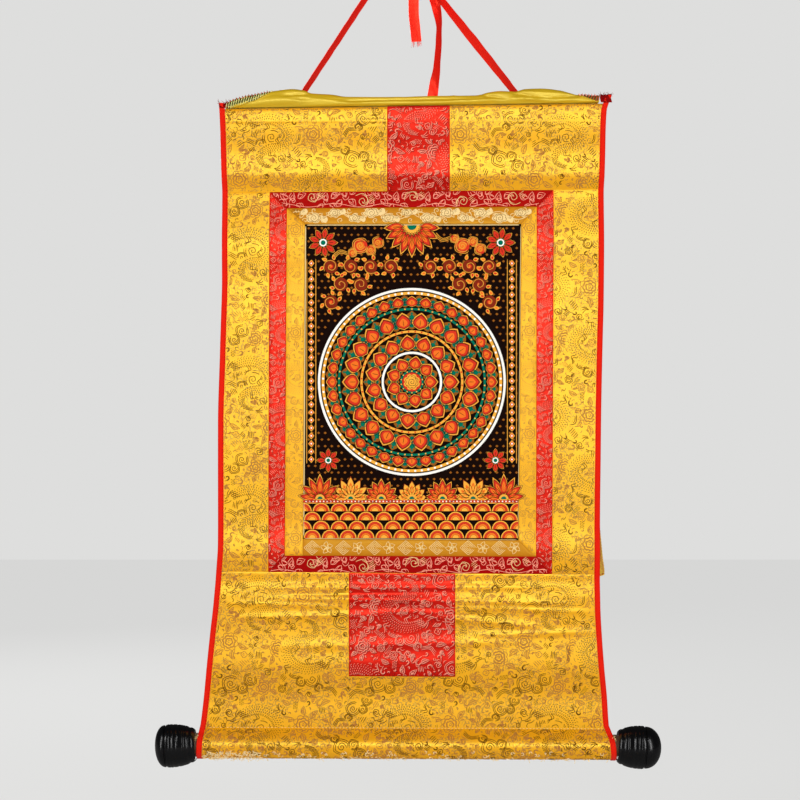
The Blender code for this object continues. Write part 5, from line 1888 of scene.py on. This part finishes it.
def crestSerging():
    # the serged edge shows above the front's slanting edge near both upper corners
    rows, columns = coverPoints.shape[:2]
    crestRow = np.argmax(coverPoints[:cover["frontRows"], :, 2], axis=0)
    front = coverPoints[:cover["frontRows"]]
    rowStep = np.linalg.norm(np.diff(front, axis=0), axis=2).mean(axis=0)

    def columnAt(x):
        return np.clip(np.rint((x - cover["west"]) / cover["spacing"]).astype(int), 0, columns - 1)

    def fromCrest(x, down, lift):
        # a place in millimetres: x, and how far below the crest on the front
        column = columnAt(x)
        v = np.clip(crestRow[column] + down / rowStep[column], 0.2, rows - 2)
        return onCover((x - cover["west"]) / cover["spacing"], v, lift)

    made = []
    for slant, across, bead in cover["slants"]:
        slant = np.array(slant)
        x = np.arange(slant[0, 0], slant[-1, 0], 2.4)
        deepest = []
        for at, column in zip(x, columnAt(x)):
            heights = front[:crestRow[column] + 1, column, 2]
            row = np.interp(np.interp(at, slant[:, 0], slant[:, 1]), heights, np.arange(len(heights)))
            deepest.append(min(-0.6, (row - crestRow[column]) * rowStep[column]))
        deepest = np.array(deepest)
        # dark bands from just below the crest down to the slanting edge: painted shade under the serging
        edges = [x + 1j * (deepest * share + 0.4 * (1 - share)) for share in np.linspace(0, 1, 8)]
        shades = list(zip(edges[1:], edges))
        strokes = [even(np.array([at + 1j * min(low, -1.2), at + 1.8 - 0.5j]), 0.7)
                   for at, low in zip(x, deepest)]
        beads = [np.array([at, at + 1.0 - 2.6j]) - 1.5j for at in np.arange(x[0] + 1, x[-1] - 2, 3.0)]
        foot = [x + 1j * (deepest - 0.3)]
        made.append(drawBands("crestShade", shades, fromCrest, finishes["sergeShade"], 0.34, 0.1))
        made.append(drawLines("crestSerge", strokes, 1.0, fromCrest, finishes[across], 0.8, 0.8, 1.0))
        made.append(drawLines("crestBeads", beads, 1.9, fromCrest, finishes[bead], 1.6, 1.1))
        made.append(drawLines("crestEdge", foot, 0.9, fromCrest, finishes["cover"], 0.5, 0.9))
    return made


def makeCover():
    def corner(u, v):
        return coverPoints[v.astype(int), u.astype(int)]

    rows, columns = coverPoints.shape[:2]
    sheet = makeSheet("coverSatin", np.arange(columns), np.arange(rows), corner, finishes["cover"],
                      cover["thickness"])
    outwards(sheet)
    carry(sheet, "cover_satin", "cover")
    serging = joined("coverSerging", edgeSerging() + crestSerging())
    carry(serging, "cover_satin")


makeCover()
print("stage: cover")


# Ribbons: red satin. Each row gives a place, x, y and z, and the direction across.
ribbons = {
    "wide": 10,
    "thickness": 0.4,
    "spacing": 2.4,
    # the bend over the hook: its radius, height and ends in degrees
    "hook": {"radius": 3.8, "centre": -3.3, "left": -56, "right": 50.7},
    "leftLeg": [
        (-106, 9.6, -160, 0.8, 0, -0.6), (-101.5, 9.9, -150, 0.82, 0.1, -0.55),
        (-92.8, 13.3, -134, 0.36, 0.9, -0.24), (-67.5, 8.4, -96.5, 0.38, 0.89, -0.25),
        (-34.6, 3.6, -47.5, 0.4, 0.88, -0.26), (-13, 0.8, -15.7, 0.18, 0.98, -0.12),
    ],
    "rightLeg": [
        (14.3, 0.8, -14.8, -0.16, 0.98, -0.13), (41.1, 3.4, -47.5, -0.42, 0.84, -0.34),
        (71.6, 6.8, -85, -0.6, 0.64, -0.49), (113, 13.3, -135.5, -0.38, 0.87, -0.31),
        (124.5, 9.9, -150, -0.77, 0.1, -0.63), (131, 9.6, -158, -0.77, 0, -0.64),
    ],
    "tie": [
        (32, 9.1, -163, 1, 0, 0), (32, 9.2, -141, 1, 0.05, 0), (36.4, 10.6, -111.5, 0.63, 0.77, 0),
        (38.6, 11, -72, 0.5, 0.87, 0), (34.6, 10.4, -47.5, 0.96, 0.28, 0), (26, 9.6, -28, 0.78, 0, -0.62),
        (19.6, 7.6, -18.6, 0.64, 0, -0.77), (18.9, 4.6, -15.8, 0.64, 0, -0.77),
        (18.7, -4.6, -15.8, 0.64, 0, -0.77), (18.2, -7.4, -18.8, 0.68, 0, -0.73),
        (15.6, -8.2, -30, 0.9, 0, -0.43), (13.6, -7.6, -47.5, 1, 0.05, 0),
        (14.2, -7, -67, 0.99, 0.12, 0), (16.6, -6.4, -89, 0.97, 0.24, 0),
    ],
}


def ribbonRun(stations, spacing):
    # places and directions across on a smooth curve through the stations
    stations = np.array(stations, float)
    places, across = stations[:, :3], stations[:, 3:]
    across = across / np.linalg.norm(across, axis=1)[:, None]
    made = []
    for i in range(len(places) - 1):
        before, after = places[max(0, i - 1)], places[min(len(places) - 1, i + 2)]
        start, end = places[i], places[i + 1]
        span = np.linalg.norm(end - start)
        first, second = (end - before) / 2, (after - start) / 2
        first *= min(1.0, span / np.linalg.norm(first))
        second *= min(1.0, span / np.linalg.norm(second))
        count = max(1, round(span / spacing))
        for t in np.arange(count) / count:
            place = (start * (2 * t ** 3 - 3 * t ** 2 + 1) + first * (t ** 3 - 2 * t ** 2 + t)
                     + end * (3 * t ** 2 - 2 * t ** 3) + second * (t ** 3 - t ** 2))
            made.append((*place, *(across[i] * (1 - t) + across[i + 1] * t)))
    made.append((*places[-1], *across[-1]))
    return made


def makeRibbon(name, run, node, ridge, frayed):
    # a ribbon along a run of places and directions across, with a soft ridge down its length
    run = np.array(run)
    places, across = run[:, :3], run[:, 3:]
    ahead = np.gradient(places, axis=0)
    ahead /= np.linalg.norm(ahead, axis=1)[:, None]
    side = across - ahead * np.sum(across * ahead, axis=1)[:, None]
    side /= np.linalg.norm(side, axis=1)[:, None]
    face = np.cross(ahead, side)

    def place(share, row):
        k = row.astype(int)
        w = share * ribbons["wide"] / 2
        n = ridge * (1 - np.abs(share - 0.25) * 1.3) + 0.12 * np.sin(k * 0.9 + 2.0 * share) * np.sin(k * 0.23)
        w = w + 0.12 * np.sin(k * 0.7) * np.abs(share)
        return places[k] + side[k] * w[:, None] + face[k] * n[:, None]

    ribbon = makeSheet(name, np.linspace(-1, 1, 9), np.arange(len(run)), place, finishes["ribbon"],
                       ribbons["thickness"])
    outwards(ribbon)
    carry(ribbon, "red_ribbon", node)
    if frayed:
        chance = np.random.default_rng(5)
        threads = [wisp(chance, places[-1] + side[-1] * chance.uniform(-4.9, 4.9), ahead[-1] + [0, -0.1, 0],
                        chance.uniform(1.5, 6.0), 0.12) for _ in range(30)]
        frays = looseThreads(name + "Frays", threads, 0.2, finishes["ribbon"])
        carry(frays, "red_ribbon")


def makeRibbons():
    left, right, tie = [ribbonRun(ribbons[key], ribbons["spacing"]) for key in ("leftLeg", "rightLeg", "tie")]
    hook = ribbons["hook"]
    bend = [(hook["radius"] * math.sin(turn), 0.0, hook["centre"] + hook["radius"] * math.cos(turn), 0, 1, 0)
            for turn in np.radians(np.linspace(hook["left"], hook["right"], 11))]
    makeRibbon("hangingRibbon", left + bend + right, "hanging_ribbon", 0.35, False)
    makeRibbon("tieRibbon", tie, "tie_ribbon", -0.3, True)


makeRibbons()
print("stage: ribbons")


# Roller: the rod keeps its own shape, and each knob is turned afresh with its fine rings.
roller = {
    "middleY": 0.75, "height": -770.8, "slope": -0.0043,
    "socket": (12.5, 15),  # radius and depth
    "sides": 72,
    # distance from the inner end and radius of the drum
    "drum": [(0, 14.6), (1.2, 15.8), (5, 17.3), (6, 17.2), (7, 18), (12, 19.4), (19, 20.5), (26, 20.8),
             (28.6, 20.4), (29.2, 19.4), (30, 19.4), (30.6, 20.2)],
    # distance from the inner end, depth and half width of the turned grooves
    "rings": [(4.6, 0.5, 1.3), (9.8, 0.2, 0.5), (11.4, 0.16, 0.4), (17.2, 0.42, 1), (22, 0.34, 0.8),
              (25.4, 0.3, 0.6)],
    # name, node, side, inner end, drum and dome lengths, droop in degrees
    "knobs": [("knobLeft", "knob_left", -1, -197.8, 29.4, 9.8, 2.8),
              ("knobRight", "knob_right", 1, 211.4, 27, 15.4, 2.2)],
}


def knobProfile(drumLong, dome):
    # distance along the axis and radius, from the socket's end over the drum to the dome's tip
    stretch = drumLong / roller["drum"][-1][0]
    socketRadius, socketDeep = roller["socket"]
    profile = [(socketDeep, 0.01), (socketDeep, socketRadius), (0.3, socketRadius), (0.0, socketRadius + 0.3)]
    at = np.unique(np.concatenate([np.linspace(0, 28.4, 38), [28.6, 28.9, 29.2, 29.6, 30.0, 30.3, 30.6]]
                                  + [[ring - wide, ring - 0.5 * wide, ring, ring + 0.5 * wide, ring + wide]
                                     for ring, _, wide in roller["rings"]]))
    radius = smoothed(roller["drum"], at)
    for ring, deep, wide in roller["rings"]:
        radius = radius - deep * np.exp(-((at - ring) / (0.7 * wide)) ** 2)
    profile += list(zip(at * stretch, radius))
    rim = roller["drum"][-1][1]
    for angle in np.radians(np.linspace(6, 87, 16)):
        profile.append((drumLong + dome * math.sin(angle), rim * math.cos(angle) ** 0.92))
    profile.append((drumLong + dome, 0.01))
    return profile


def makeKnobs():
    unlit = bpy.data.collections.new("knobsOutOfThatLight")
    for name, node, side, start, drumLong, dome, droop in roller["knobs"]:
        profile = knobProfile(drumLong, dome)
        bpy.ops.object.select_all(action="DESELECT")
        bpy.ops.mesh.primitive_circle_add(vertices=roller["sides"], radius=profile[0][1] * mm,
                                          location=(0, 0, profile[0][0] * mm))
        knob = bpy.context.object
        knob.name = knob.data.name = name
        bpy.ops.object.transform_apply(location=True)
        bpy.ops.object.mode_set(mode="EDIT")
        bpy.ops.mesh.select_all(action="SELECT")
        bpy.ops.mesh.edge_face_add()
        for (before, inner), (after, outer) in zip(profile, profile[1:]):
            move = (0, 0, (after - before) * mm)
            bpy.ops.mesh.extrude_region_move(TRANSFORM_OT_translate={"value": move})
            grow = outer / inner
            bpy.ops.transform.resize(value=(grow, grow, 1), center_override=(0, 0, after * mm))
        outwards(knob, 0.00002)
        knob.rotation_euler = (0, side * math.radians(90 + droop), 0)
        knob.location = Vector((start, roller["middleY"], roller["height"] + roller["slope"] * start)) * mm
        bpy.ops.object.transform_apply(location=True, rotation=True, scale=True)
        knob.data.materials.append(finishes["lacquer"])
        smoothShade(knob, 32)
        carry(knob, "black_lacquer", node)
        unlit.objects.link(knob)
    for link in unlit.collection_objects:
        link.light_linking.link_state = "EXCLUDE"
    for lamp in studio["notOnKnobs"]:
        bpy.data.objects[lamp].light_linking.receiver_collection = unlit


def turnedFinish(name, colour, worn, gloss, coat, pitch, bump, dust):
    # lacquer or wood from the lathe
    finish, tree, shader = newFinish(name)
    marks = addGroup(tree, latheGroup, Pitch=pitch * mm, Dust=dust)
    mixed = blend(tree, marks["Mask"], tint(colour), tint(worn))
    rough = plus(tree, gloss, times(tree, marks["Mask"], 0.35))
    dress(tree, shader, mixed, rough, marks["Height"], bump, 0.08 * mm,
          {"Coat Weight": coat, "Coat Roughness": 0.12})
    return finish


finishes["lacquer"] = turnedFinish("blackLacquer", (5, 5, 7), (44, 42, 40), 0.24, 0.25, 0.9, 0.1, 0.05)
finishes["wood"] = turnedFinish("plainWood", (96, 66, 40), (60, 40, 24), 0.6, 0.0, 2.4, 0.5, 0.3)
makeKnobs()
for node in ("top_slat", "roller_rod"):
    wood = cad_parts[node]
    wood.data.materials.clear()
    wood.data.materials.append(finishes["wood"])
print("stage: roller")

bpy.data.objects.remove(nib)
